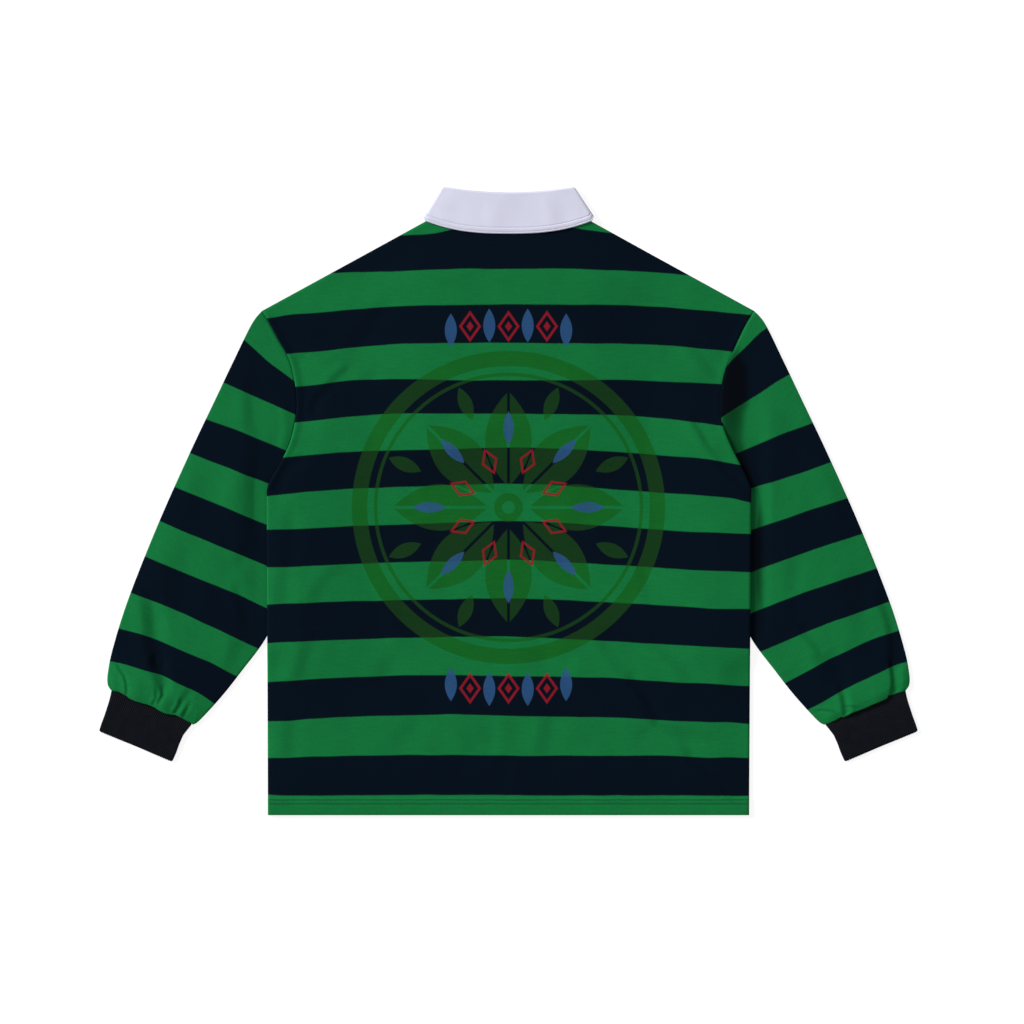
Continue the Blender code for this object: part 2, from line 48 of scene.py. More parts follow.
def smooth(value):
    value = min(1.0, max(0.0, value))
    return value * value * (3.0 - 2.0 * value)


# 0 up to start, then up to 1 over the run
def rampUp(value, start, run):
    return smooth((value - start) / run)


# down from 1 over the run, then 0 from end on
def rampDown(value, end, run):
    return smooth((end - value) / run)


def mix(a, b, share):
    return a + (b - a) * share


def mixPoint(a, b, share):
    return tuple(mix(p, q, share) for p, q in zip(a, b))


def softFloor(value):
    return (value + sqrt(value * value + 0.04)) / 2.0  # stays above 0 without a corner


# a soft groove or bead of height 1, half as high at about 0.8 of half
def hump(gap, half):
    return exp(-((gap / half) ** 2))


# a column's value at a place, from rows that start with the place
def readRows(rows, place, column=1, eased=True):
    for low, high in zip(rows, rows[1:]):
        if place <= high[0]:
            share = (place - low[0]) / (high[0] - low[0])
            return mix(low[column], high[column], smooth(share) if eased else share)
    return rows[-1][column]


# a point on the smooth curve through the points, at a place counted in points
def splinePoint(points, place):
    last = len(points) - 1
    index = min(int(place), last - 1)
    share = place - index
    near = [points[min(max(index + k, 0), last)] for k in (-1, 0, 1, 2)]
    weights = (
        (-share + 2 * share**2 - share**3) / 2,
        (2 - 5 * share**2 + 3 * share**3) / 2,
        (share + 4 * share**2 - 3 * share**3) / 2,
        (share**3 - share**2) / 2,
    )
    return tuple(sum(w * p[k] for w, p in zip(weights, near)) for k in range(len(near[0])))


curvePieces = 16  # between two points of a curve


# points at shares of the length of the smooth curve through the given points
def evenPoints(points, shares):
    steps = curvePieces * (len(points) - 1)
    fine = [splinePoint(points, k * (len(points) - 1) / steps) for k in range(steps + 1)]
    lengths = [0.0]
    for a, b in zip(fine, fine[1:]):
        lengths.append(lengths[-1] + hypot(b[0] - a[0], b[1] - a[1]))
    picked, k = [], 0
    for share in shares:
        wanted = share * lengths[-1]
        while k < len(fine) - 2 and lengths[k + 1] < wanted:
            k += 1
        picked.append(mixPoint(fine[k], fine[k + 1], (wanted - lengths[k]) / (lengths[k + 1] - lengths[k])))
    return picked


def softNoise(x, y, size, seed):
    return noise.noise(Vector((x / size, y / size, seed)))


# slow unevenness: each wave has a height, a size and a seed
def waveSum(waves, x, y):
    return sum(height * softNoise(x, y, size, seed) for height, size, seed in waves)


creaseLook = {
    "away": (0.87, -0.5),  # the side that a crease drops to
    "piece": 7.0,  # length of the straight pieces that a crease is cut into
    "fade": 1.4,  # how far past its ends it runs out: a share of half its width, and at least this much more
    "fadeMore": 5.0,
    # how much painted shade a crease lays in its trough, and the most painted shade at one place
    "toneAndShade": 0.055,
    "mostPaintedShade": 0.3,
}


# A crease is a soft step down across a line of points, with a flank on each side that makes up the height.
# Its row holds the points, half the step's width, its height, the share that stands up as a ridge, the flank.
# A third number in a point scales the height there, and a negative height turns the crease the other way.
# A crease of positive height also paints shade along its step.
def layCrease(row):
    points, half, height, lift, flank = row
    points = [(*p, 1.0) if len(p) == 2 else p for p in points]
    length = sum(hypot(b[0] - a[0], b[1] - a[1]) for a, b in zip(points, points[1:]))
    count = max(2, int(length / creaseLook["piece"]))
    line = evenPoints(points, [k / count for k in range(count + 1)]) if len(points) > 2 else points
    reach = creaseLook["fade"] * half + creaseLook["fadeMore"]
    for end, inner in ((0, 1), (-1, -2)):
        dx, dy = line[end][0] - line[inner][0], line[end][1] - line[inner][1]
        size = hypot(dx, dy)
        tip = (line[end][0] + dx / size * reach, line[end][1] + dy / size * reach, 0.0)
        line = [tip, *line] if end == 0 else [*line, tip]
    wayX, wayY = line[-1][0] - line[0][0], line[-1][1] - line[0][1]
    side = 1.0 if -wayY * creaseLook["away"][0] + wayX * creaseLook["away"][1] > 0 else -1.0
    parts = []
    for a, b in zip(line, line[1:]):
        size = hypot(b[0] - a[0], b[1] - a[1])
        parts.append((a[0], a[1], (b[0] - a[0]) / size, (b[1] - a[1]) / size, size, a[2], b[2]))
    wide = half + flank
    xs, ys = [p[0] for p in line], [p[1] for p in line]
    box = (min(xs) - wide, max(xs) + wide, min(ys) - wide, max(ys) + wide)
    return box, parts, side, half, height, lift, flank


# the height of all the creases at a place, and the painted shade they lay in their troughs
def creaseSum(creases, x, y):
    total, toneAndShade = 0.0, 0.0
    for box, parts, side, half, height, lift, flank in creases:
        if not (box[0] < x < box[1] and box[2] < y < box[3]):
            continue
        nearest = None
        for ax, ay, ux, uy, size, first, second in parts:
            dx, dy = x - ax, y - ay
            along = min(size, max(0.0, dx * ux + dy * uy))
            gap = hypot(dx - along * ux, dy - along * uy)
            if nearest is None or gap < nearest[0]:
                nearest = (gap, copysign(gap, (ux * dy - uy * dx) * side), mix(first, second, along / size))
        gap, across, strength = nearest
        if gap > half + flank:
            continue
        strength = smooth(strength) if strength < 1.0 else strength
        up = smooth((across + half + flank) / flank)
        step = smooth((across + half) / (2.0 * half))
        back = smooth((across - half) / flank)
        total += strength * height * (lift * up - step + (1.0 - lift) * back)
        # painted shade in the trough, darkest on the crease's line
        if height > 0.0 and gap < half:
            toneAndShade += strength * height * creaseLook["toneAndShade"] * (1.0 - (gap / half) ** 2)
    return total, min(toneAndShade, creaseLook["mostPaintedShade"])


# The cut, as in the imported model
bodyCut = {
    "hemY": -392.5,
    "underarmY": 13.75,
    "shoulderY": 237.5,
    "neckY": 358.0,
    "hemOut": 300.6,
    "neckOut": 87.5,
    "backDip": 14.2,
    "frontDip": 85.5,
    "wall": 1.2,
    "layerGap": 0.5,
    "hemDepth": 20.0,
    "hemExtra": 0.6,
    "hemStep": 2.4,
    "seamGap": 0.3,
    "loft": 1.4,
    "seamRidge": (1.3, 0.5),
    "rightLift": 0.4,
    "dipAtTip": 0.14,  # the share of the neck's dip at the shoulder tip, and where it starts
    "dipFrom": (150.0, 74.0),
    "trim": 0.05,
}
# up from the underarm, then how far out the seam is on the left and on the right
armhole = [
    (0.0, 301.9, 303.1),
    (12.0, 297.4, 299.3),
    (32.0, 286.0, 289.4),
    (56.0, 274.3, 277.5),
    (80.0, 267.8, 268.5),
    (110.0, 264.6, 265.6),
    (140.0, 268.1, 269.4),
    (165.0, 274.9, 277.4),
    (188.0, 287.8, 287.1),
    (208.0, 298.4, 297.1),
    (223.75, 308.1, 306.9),
]
bodyCreases = [layCrease(row) for row in [
    # beside the left armhole
    ([(-157, 248), (-176, 222), (-194, 199)], 11, 0.8, 0.5, 18),
    ([(-205, 165), (-216, 156), (-228, 142), (-239, 132), (-246, 121), (-247, 104, 0.4)], 4.5, 1.4, 0.45, 13),
    ([(-196, 176, 0.6), (-214, 178), (-228, 170, 0.4)], 7, 0.5, 0.3, 11),
    ([(-258, 184), (-264, 176)], 5, 0.7, 0.4, 9),
    ([(-172, 160), (-178, 154)], 7, 0.5, 0.4, 11),
    ([(-264, 54), (-275, 46), (-285, 38), (-294, 15)], 5, 1.1, 0.5, 11),
    ([(-276, -18, 0.7), (-279, -65), (-286, -123, 0.7)], 9, 1.1, 0.4, 17),
    ([(-206, -84, 0.7), (-224, -91), (-237, -108), (-245, -123, 0.8)], 9, 0.8, 0.75, 19),
    ([(-252, -176), (-260, -203), (-268, -226, 0.7)], 9, 1.2, 0.5, 20),
    ([(-154, -203), (-162, -217)], 11, 0.7, 0.5, 17),
    ([(-276, -276), (-277, -316)], 10, 1.2, 0.5, 19),
    ([(-142, -302), (-134, -292), (-126, -281)], 13, 0.8, 0.5, 24),
    # the middle of the back
    ([(-16, -275, 0.6), (-15, -300), (-17, -318, 0.6)], 7, -0.8, 0.5, 18),
    ([(2, -324), (1, -367, 0.6)], 7, -0.6, 0.5, 17),
    ([(46, -278), (44, -290), (42, -305)], 11, 1.1, 0.5, 20),
    ([(-60, 64, 0.5), (-10, 80), (38, 74, 0.5)], 14, 0.6, 0.5, 26),
    ([(90, -6, 0.5), (120, -18), (156, -40, 0.4)], 13, 0.7, 0.5, 24),
    ([(-118, -62, 0.5), (-96, -90), (-88, -128, 0.4)], 14, 0.7, 0.5, 26),
    ([(20, -150, 0.5), (34, -182), (38, -214, 0.4)], 14, 0.6, 0.5, 26),
    # beside the right armhole
    ([(138, 278, 0.6), (164, 261), (188, 250, 0.6)], 7, 0.8, 0.4, 14),
    ([(254, 210, 0.6), (267, 202), (281, 193)], 2.6, 0.8, 0.4, 9),
    ([(190, 195), (195, 188)], 7, 0.5, 0.4, 11),
    ([(230, 186, 0.7), (243, 172), (256, 160, 0.7)], 8, 1.1, 0.4, 15),
    ([(230, 98, 1.1), (241, 81, 1.2), (249, 67, 0.9), (263, 52, 0.6)], 4.2, 1.4, 0.45, 13),
    ([(263, 41, 0.8), (276, 28), (291, 15, 0.8)], 3.4, 1.0, 0.4, 10),
    ([(164, -88), (168, -95)], 6, 0.6, 0.4, 10),
    ([(169, -120), (173, -128)], 6, 0.6, 0.4, 10),
    # the long folds to the hem's right corner
    ([(113, -174, 0.7), (129, -197), (149, -222)], 9, 1.0, 0.5, 19),
    ([(151, -226), (161, -238, 1.1), (173, -258, 1.2), (181, -272)], 5.5, 1.6, 0.5, 16),
    ([(181, -274), (197, -284), (221, -290, 0.8), (251, -294, 0.5)], 9, 1.3, 0.5, 18),
    ([(181, -182, 0.7), (203, -198), (217, -214, 0.7)], 9, 1.0, 0.5, 19),
    ([(217, -307), (222, -316)], 7, 0.8, 0.4, 11),
    ([(223, -323, 0.8), (241, -337), (257, -353), (271, -365), (284, -380, 0.8)], 4.8, 1.4, 0.5, 15),
    # a pucker below the collar's right corner
    ([(91, 342, 0.8), (100, 344), (110, 346, 0.7)], 1.2, 1.3, 0.4, 4),
]]
# soft arches of the front, which lies on the floor
frontCreases = [layCrease(row) for row in [
    ([(-190, -60), (-150, -110), (-130, -170)], 11, 0.7, 1.0, 16),
    ([(160, 30), (190, -30), (200, -90)], 10, 0.7, 1.0, 16),
    ([(-60, -240), (-48, -300)], 12, 0.6, 1.0, 18),
    ([(90, -210), (120, -250), (160, -280)], 9, 0.8, 1.0, 15),
    ([(-230, 60), (-200, 90)], 8, 0.6, 1.0, 14),
    ([(-120, 40), (-90, -10)], 9, 0.6, 1.0, 14),
]]


# What lies under a panel lifts it: how high, and where that starts or ends with the run it takes
liftLook = {
    "sleeve": {"height": 3.6, "low": (-216.0, 34.0), "high": (112.0, 40.0), "out": (232.0, 34.0)},
    "leaf": {"height": 1.9, "low": (200.0, 30.0), "in": (172.0, 42.0)},
    "placket": {"height": 4.2, "low": (70.0, 30.0), "in": (60.0, 34.0), "less": 0.51,
                "lessFrom": (244.0, 26.0)},
    "side": {"low": (-196.0, 30.0), "high": (205.0, 40.0), "out": (270.0, 24.0)},
    "backOnSleeve": {"low": (-262.0, 84.0), "high": (150.0, 80.0), "out": (150.0, 116.0)},
    "backOnFront": {"height": 2.2, "more": 2.0, "moreTo": (330.0, 60.0), "low": (0.0, 70.0),
                    "in": (190.0, 100.0)},
    "archesBelow": 100.0,
}
backLook = {
    "slack": 44.0,  # this far in from its side the back lies as it likes
    "loftHem": 40.0,
    "loftShoulder": (6.0, 50.0),
    "foldSide": 9.0,
    "foldHem": (-16.0, 26.0),
    "foldShoulder": 16.0,
    "waves": ((0.5, 85, 1.5), (0.14, 26, 4.5)),
}


# 1 between the two heights of a look, 0 outside them
def between(y, look):
    return rampUp(y, *look["low"]) * rampDown(y, *look["high"])


def liftOverSleeve(x, y):
    look = liftLook["sleeve"]
    return look["height"] * between(y, look) * rampUp(abs(x), *look["out"])


def liftOverLeaf(x, y):
    look = liftLook["leaf"]
    return look["height"] * rampDown(abs(x), *look["in"]) * rampUp(y, *look["low"])


def liftOverPlacket(x, y):
    look = liftLook["placket"]
    along = rampUp(y, *look["low"]) * (1.0 - look["less"] * rampUp(y, *look["lessFrom"]))
    return look["height"] * rampDown(abs(x), *look["in"]) * along


# the right side stands off the sleeve a little
def liftOfSide(x, y):
    look = liftLook["side"]
    return bodyCut["rightLift"] * rampUp(x, *look["out"]) * between(y, look)


# the front panel's underside, with arches only below the chest
def frontHeight(x, y):
    arches = creaseSum(frontCreases, x, y)[0] if y < liftLook["archesBelow"] else 0.0
    return max(liftOverSleeve(x, y), liftOverLeaf(x, y), liftOverPlacket(x, y), arches) + liftOfSide(x, y)


def shoulderLine(x):
    slope = (bodyCut["neckY"] - bodyCut["shoulderY"]) / (armhole[-1][1] - bodyCut["neckOut"])
    return min(bodyCut["neckY"], bodyCut["neckY"] - slope * (abs(x) - bodyCut["neckOut"]))


def hemWall(y):
    step = (bodyCut["hemY"] + bodyCut["hemDepth"] + bodyCut["hemStep"] - y) / bodyCut["hemStep"]
    return bodyCut["wall"] + bodyCut["hemExtra"] * smooth(step)


# the panel's side at a height: left or right
def sideOut(x, y):
    up = min(armhole[-1][0], max(0.0, y - bodyCut["underarmY"]))
    return readRows(armhole, up, 1 if x < 0 else 2, eased=False)


# the back rises to the sleeve more slowly than the front
def backOverSleeve(x, y, fromSide):
    look = liftLook["backOnSleeve"]
    share = mix(between(y, liftLook["sleeve"]), between(y, look), smooth(fromSide / backLook["slack"]))
    return liftLook["sleeve"]["height"] * rampUp(abs(x), *look["out"]) * share


def backOverFront(x, y):
    look = liftLook["backOnFront"]
    height = look["height"] + look["more"] * rampDown(y, *look["moreTo"])
    return height * rampDown(abs(x), *look["in"]) * rampUp(y, *look["low"])


# the back panel's underside with its folds, and the painted shade of its creases
def backHeight(x, y):
    look = backLook
    fromSide = sideOut(x, y) - abs(x)
    overSleeve = backOverSleeve(x, y, fromSide) + liftOfSide(x, y)
    base = max(frontHeight(x, y), backOverFront(x, y), overSleeve) + hemWall(y) + bodyCut["layerGap"]
    fromHem = y - bodyCut["hemY"] - bodyCut["hemDepth"]
    fromShoulder = shoulderLine(x) - y
    inside = smooth(fromSide / look["slack"]) * smooth(fromHem / look["loftHem"])
    inside *= rampUp(fromShoulder, *look["loftShoulder"])
    near = smooth(fromSide / look["foldSide"]) * rampUp(fromHem, *look["foldHem"])
    near *= smooth(fromShoulder / look["foldShoulder"])
    folds, toneAndShade = creaseSum(bodyCreases, x, y)
    folds += waveSum(look["waves"], x, y)
    return base + softFloor(bodyCut["loft"] * inside + folds * near), toneAndShade * near


# Hoops of the body: how high each edge between two colours lies at the columns, from the collar down
bodyEdges = (
    (320.6, 322.5, 325.0, 328.1, 331.6, 333.8, 340.6, 342.0, 343.0, 338.5, 333.4, 326.2, 322.5, 320.6, 320.0),
    (276.9, 278.8, 282.5, 285.8, 287.0, 288.6, 289.8, 289.6, 290.1, 289.0, 287.6, 284.0, 279.4, 275.6, 273.1),
    (229.0, 232.9, 235.0, 239.0, 243.3, 244.2, 244.8, 245.6, 245.2, 245.1, 244.9, 241.6, 238.0, 235.0, 233.3),
    (180.0, 184.0, 186.1, 190.8, 196.2, 196.7, 197.0, 197.5, 196.7, 196.7, 196.6, 193.9, 189.6, 186.5, 183.1),
    (141.2, 142.5, 144.9, 150.8, 152.2, 151.4, 150.5, 150.6, 150.5, 150.9, 151.4, 148.9, 147.4, 146.0, 145.0),
    (95.0, 97.3, 100.2, 105.2, 109.1, 109.1, 109.0, 108.9, 108.3, 107.8, 107.1, 102.1, 96.4, 91.9, 88.1),
    (51.9, 55.0, 58.0, 61.6, 63.4, 64.3, 65.0, 66.9, 65.4, 63.6, 61.1, 56.2, 52.6, 47.5, 43.8),
    (6.7, 9.2, 12.0, 14.8, 17.5, 18.9, 20.1, 21.7, 19.4, 16.9, 13.9, 9.4, 6.5, 3.5, -0.8),
    (-35.6, -35.1, -33.8, -31.4, -29.4, -28.0, -26.7, -24.9, -27.0, -29.3, -32.1, -36.7, -39.1, -39.9, -40.5),
    (-82.9, -82.4, -80.9, -78.9, -76.6, -75.9, -75.3, -73.4, -76.0, -78.0, -80.4, -84.5, -87.0, -87.9, -88.9),
    (-129.2, -128.0, -126.6, -125.1, -123.8, -123.1, -122.4, -121.5, -123.4, -125.1, -127.2, -130.9, -134.0,
     -134.7, -134.6),
    (-177.4, -176.2, -174.9, -173.1, -171.2, -170.4, -169.7, -169.5, -171.9, -173.7, -175.8, -179.5, -182.0,
     -183.5, -184.2),
    (-226.0, -224.4, -222.0, -220.1, -218.0, -217.6, -217.4, -218.8, -219.4, -220.3, -221.4, -226.2, -227.8,
     -229.9, -230.9),
    (-275.1, -274.7, -272.0, -269.6, -268.0, -267.2, -266.5, -268.4, -269.6, -270.1, -270.8, -274.5, -276.1,
     -276.5, -278.2),
    (-321.0, -320.6, -319.1, -318.2, -317.2, -317.2, -317.2, -318.1, -318.0, -318.0, -318.0, -318.1, -320.5,
     -320.4, -321.1),
    (-367.2, -368.1, -368.2, -367.8, -367.4, -367.4, -367.4, -367.4, -368.2, -368.1, -368.0, -367.8, -368.1,
     -368.5, -368.4),
    (-415.0,) * 15,
)
bodyHoops = {
    "waver": ((0.5, 30, 9.0),),
    "at": (-296, -273, -242, -198, -136, -96, -61, 1, 64, 98, 139, 202, 246, 277, 296),
    "edges": bodyEdges,
}
# Hoops of the sleeves: how far down from the shoulder tip each edge lies, at distances in from the outer edge
sleeveColumns = (-16, 7.5, 30, 55, 80, 105, 130)
sleeveHoops = {
    "left": {
        "waver": ((0.5, 30, 3.0),),
        "at": sleeveColumns,
        "edges": (
            (38.4, 47.1, 55.4, 61.9, 69.2, 76.5, 84.0),
            (100.7, 101.6, 102.5, 103.2, 104.1, 105.0, 106.0),
            (151.4, 150.6, 149.8, 150.0, 150.1, 150.5, 151.0),
            (198.4, 198.0, 197.6, 197.9, 197.1, 197.2, 197.4),
            (244.7, 244.8, 244.9, 244.5, 245.1, 245.4, 246.0),
            (291.4, 291.9, 292.4, 292.6, 292.6, 292.8, 292.9),
            (338.9, 339.2, 339.5, 339.8, 339.6, 339.6, 341.1),
            (387.9, 387.4, 386.9, 387.6, 389.0, 390.2, 391.9),
            (434.7, 431.5, 430.4, 430.5, 431.1, 431.4, 433.6),
            (477.6, 473.5, 471.6, 468.8, 470.8, 472.1, 477.5),
            (525.0,) * 7,
        ),
    },
    "right": {
        "waver": ((0.5, 30, 3.0),),
        "at": sleeveColumns,
        "edges": (
            (22.5, 28.6, 38.2, 48.6, 62.0, 74.0, 86.0),
            (89.0, 92.1, 97.0, 101.4, 106.0, 111.0, 116.0),
            (156.6, 156.0, 155.4, 155.8, 156.2, 157.0, 158.0),
            (211.0, 209.9, 208.8, 207.1, 204.2, 203.0, 202.0),
            (259.7, 257.9, 256.2, 255.1, 253.5, 252.0, 251.0),
            (308.3, 306.5, 304.8, 303.6, 302.5, 301.5, 301.0),
            (354.9, 353.2, 351.6, 350.2, 349.0, 348.4, 348.2),
            (399.7, 398.6, 397.6, 396.6, 396.0, 396.5, 396.9),
            (437.5, 435.6, 435.5, 437.0, 438.2, 441.6, 444.0),
            (477.6, 476.2, 477.6, 478.6, 481.0, 484.8, 487.0),
            (525.0,) * 7,
        ),
    },
}
sleeveLean = radians(22)
hoopReach = {"aside": 12.0, "above": 50.0, "most": -0.9}  # how far the hoops run on past the table


# how many hoops lie before the value at a place across, with the share of the one it is in
def countHoops(table, across, value, sign=1.0):
    at = table["at"]
    spot = min(at[-1] + hoopReach["aside"], max(at[0] - hoopReach["aside"], across))
    k = 0
    while k < len(at) - 2 and spot > at[k + 1]:
        k += 1
    width = at[k + 1] - at[k]
    share = (spot - at[k]) / width
    before, after = max(0, k - 1), min(len(at) - 1, k + 2)
    previous = None
    for index, edge in enumerate(table["edges"]):
        startSlope = (edge[k + 1] - edge[before]) / (at[k + 1] - at[before]) * width
        endSlope = (edge[after] - edge[k]) / (at[after] - at[k]) * width
        if 0.0 <= share <= 1.0:
            level = edge[k] * (1 - 3 * share**2 + 2 * share**3) + edge[k + 1] * (3 * share**2 - 2 * share**3)
            level += startSlope * (share - 2 * share**2 + share**3) + endSlope * (share**3 - share**2)
        else:
            level = edge[k] + startSlope * share if share < 0 else edge[k + 1] + endSlope * (share - 1)
        level *= sign
        if value <= level:
            if previous is None:
                return max(hoopReach["most"], (value - level) / hoopReach["above"])
            return index - 1 + (value - previous) / (level - previous)
        previous = level
    return len(table["edges"]) - 1.0


def bodyHoop(x, y):
    return countHoops(bodyHoops, x, -y + waveSum(bodyHoops["waver"], x, y), -1.0)


def sleeveHoop(side, out, y):
    table = sleeveHoops[side]
    dx, dy = out - armhole[-1][1], y - bodyCut["shoulderY"]
    along = dx * sin(sleeveLean) - dy * cos(sleeveLean)
    off = -dx * cos(sleeveLean) - dy * sin(sleeveLean)
    return countHoops(table, off, along + waveSum(table["waver"], out, y))


# short hands for the nodes of one shader tree
def nodeMaths(tree):
    def link(value, socket):
        if isinstance(value, (int, float)):
            socket.default_value = value
        else:
            tree.links.new(value, socket)

    def maths(operation, a, b=0.0, c=0.0):
        made = tree.nodes.new("ShaderNodeMath")
        made.operation = operation
        for value, socket in zip((a, b, c), made.inputs):
            link(value, socket)
        return made.outputs[0]

    def spread(value, low, high, toLow=0.0, toHigh=1.0):
        made = tree.nodes.new("ShaderNodeMapRange")
        for given, socket in zip((value, low, high, toLow, toHigh), made.inputs):
            link(given, socket)
        return made.outputs[0]

    def blend(share, first, second):
        made = tree.nodes.new("ShaderNodeMix")
        made.data_type = "RGBA"
        link(share, made.inputs[0])
        for value, socket in ((first, made.inputs[6]), (second, made.inputs[7])):
            if isinstance(value, tuple):
                socket.default_value = (*value, 1.0)
            else:
                tree.links.new(value, socket)
        return made.outputs[2]

    return maths, spread, blend


# a noise texture on the given coordinates, stretched by scale
def noiseOn(tree, vector, scale, detail=2.0):
    stretch = tree.nodes.new("ShaderNodeMapping")
    stretch.inputs["Scale"].default_value = scale if isinstance(scale, tuple) else (scale,) * 3
    tree.links.new(vector, stretch.inputs["Vector"])
    made = tree.nodes.new("ShaderNodeTexNoise")
    made.inputs["Scale"].default_value = 1.0
    made.inputs["Detail"].default_value = detail
    tree.links.new(stretch.outputs[0], made.inputs["Vector"])
    return made.outputs[0]


knitLook = {
    "wales": 850.0,  # columns and rows of loops a metre
    "courses": 1000.0,
    "slant": 0.8,
    "rows": (45.0, 700.0, 45.0),
    "fleck": 420.0,
    "cloud": 26.0,
    "parts": (0.35, 0.4, 0.25),  # of the tone, from rows, flecks and clouds
}


# knitted loops as height, and the uneven tone of dyed yarn
def knitGroup():
    look = knitLook
    group = bpy.data.node_groups.new("knitLoops", "ShaderNodeTree")
    group.interface.new_socket("Place", in_out="INPUT", socket_type="NodeSocketVector")
    for title, value in (("Wales", look["wales"]), ("Courses", look["courses"])):
        group.interface.new_socket(title, in_out="INPUT", socket_type="NodeSocketFloat").default_value = value
    for title in ("Height", "Tone"):
        group.interface.new_socket(title, in_out="OUTPUT", socket_type="NodeSocketFloat")
    given, out = group.nodes.new("NodeGroupInput"), group.nodes.new("NodeGroupOutput")
    place = given.outputs["Place"]
    maths = nodeMaths(group)[0]
    parts = group.nodes.new("ShaderNodeSeparateXYZ")
    group.links.new(place, parts.inputs[0])
    across = maths("MULTIPLY", parts.outputs[0], given.outputs["Wales"])
    leg = maths("PINGPONG", across, 0.5)
    along = maths("MULTIPLY", parts.outputs[1], given.outputs["Courses"])
    along = maths("ADD", along, maths("MULTIPLY", leg, look["slant"]))
    loop = maths("ABSOLUTE", maths("SINE", maths("MULTIPLY", along, pi)))
    bulge = maths("SINE", maths("MULTIPLY", maths("FRACT", maths("MULTIPLY", across, 2.0)), pi))
    height = maths("MULTIPLY", loop, maths("ADD", maths("MULTIPLY", bulge, 0.6), 0.4))
    group.links.new(height, out.inputs["Height"])
    grains = (noiseOn(group, place, look["rows"]), noiseOn(group, place, look["fleck"], 3.0),
              noiseOn(group, place, look["cloud"]))
    rows, fleck, cloud = (maths("MULTIPLY", grain, part) for grain, part in zip(grains, look["parts"]))
    group.links.new(maths("ADD", maths("ADD", rows, fleck), cloud), out.inputs["Tone"])
    return group


def useGroup(tree, group, place, **values):
    made = tree.nodes.new("ShaderNodeGroup")
    made.node_tree = group
    tree.links.new(place, made.inputs["Place"])
    for title, value in values.items():
        made.inputs[title].default_value = value
    return made


def newMaterial(name, roughness, specular=0.08, sheen=0.0):
    made = bpy.data.materials.new(name)
    made.use_nodes = True
    shader = made.node_tree.nodes["Principled BSDF"]
    shader.inputs["Roughness"].default_value = roughness
    shader.inputs["Specular IOR Level"].default_value = specular
    shader.inputs["Sheen Weight"].default_value = sheen
    shader.inputs["Sheen Roughness"].default_value = 0.5
    return made, made.node_tree, shader


def clothPlace(tree):
    place = tree.nodes.new("ShaderNodeUVMap")
    place.uv_map = "cloth"
    return place.outputs[0]


def readAttribute(tree, name):
    made = tree.nodes.new("ShaderNodeAttribute")
    made.attribute_name = name
    return made.outputs["Fac"]


def scaleColour(tree, colour, factor):
    made = tree.nodes.new("ShaderNodeVectorMath")
    made.operation = "SCALE"
    tree.links.new(colour, made.inputs[0])
    tree.links.new(factor, made.inputs["Scale"])
    return made.outputs[0]


def addBump(tree, shader, height, strength, distance):
    bump = tree.nodes.new("ShaderNodeBump")
    bump.inputs["Strength"].default_value = strength
    bump.inputs["Distance"].default_value = distance
    tree.links.new(height, bump.inputs["Height"])
    tree.links.new(bump.outputs[0], shader.inputs["Normal"])


jerseyLook = {
    "green": (0.0052, 0.151, 0.0375),
    "navy": (0.0003, 0.0038, 0.0095),
    "edgeBlur": 0.012,
    "toneSwing": 0.13,
    "bump": 0.0002,
}


# green and navy hoops knitted in, with the large printed ornament on the back panel only
def jerseyMaterial(knit, printed):
    made, tree, shader = newMaterial("printedJersey" if printed else "hoopedJersey", 0.94, 0.05, 0.02)
    maths, spread, blend = nodeMaths(tree)
    loops = useGroup(tree, knit, clothPlace(tree))
    jitter = maths("MULTIPLY", maths("SUBTRACT", loops.outputs["Tone"], 0.5), 0.03)
    count = maths("ADD", maths("ADD", readAttribute(tree, "hoop"), 10.5), jitter)
    wave = maths("PINGPONG", count, 1.0)
    isNavy = spread(wave, 0.5 - jerseyLook["edgeBlur"], 0.5 + jerseyLook["edgeBlur"])
    colour = blend(isNavy, jerseyLook["green"], jerseyLook["navy"])
    if printed:
        colour = printedOrnament(tree, colour, isNavy)
    swing = jerseyLook["toneSwing"]
    toneAndShade = spread(loops.outputs["Tone"], 0.35, 0.65, 1.0 - swing, 1.0 + swing)
    # painted shade of creases and of the right armhole's shadow darkens the yarn's tone
    toneAndShade = maths("MULTIPLY", toneAndShade, maths("SUBTRACT", 1.0, readAttribute(tree, "paintedShade")))
    tree.links.new(scaleColour(tree, colour, toneAndShade), shader.inputs["Base Color"])
    tree.links.new(spread(loops.outputs["Tone"], 0.3, 0.7, 0.9, 0.98), shader.inputs["Roughness"])
    addBump(tree, shader, loops.outputs["Height"], 0.4, jerseyLook["bump"])
    return made


ornamentLook = {
    "middle": (0.0, -8.0),
    "softEdge": 0.35,
    "rings": ((186.0, 9.5), (166.0, 2.2)),  # radius, half the width
    "core": (13.0, 5.0),
    "petal": (85.2, 59.64, 29.0),  # a leaf or lozenge: how far out its middle lies, half its length and width
    "vein": 1.8,
    "dart": (140.0, 22.0, 8.5),
    "innerLozenge": (62.0, 15.0, 9.0),
    "innerLine": 1.5,
    "rowLozenge": (226.0, 17.0, 12.0),
    "rowLine": 1.9,
    "rowHeart": 7.5,
    "rowShifts": (-48.0, 0.0, 48.0),
    "innerLeaf": (99.0, 21.0, 6.5),
    "rowLeaf": (21.0, 7.5),
    "rowLeafAt": ((-24.0, 227.0), (24.0, 227.0), (-72.0, 221.0), (72.0, 221.0)),
    "onGreen": (0.0055, 0.112, 0.0150),
    "onNavy": (0.0060, 0.034, 0.0080),
    "red": (0.235, 0.0075, 0.018),
    "blue": (0.022, 0.075, 0.19),
    "redInk": 0.9,
    "blueInk": 0.85,
}


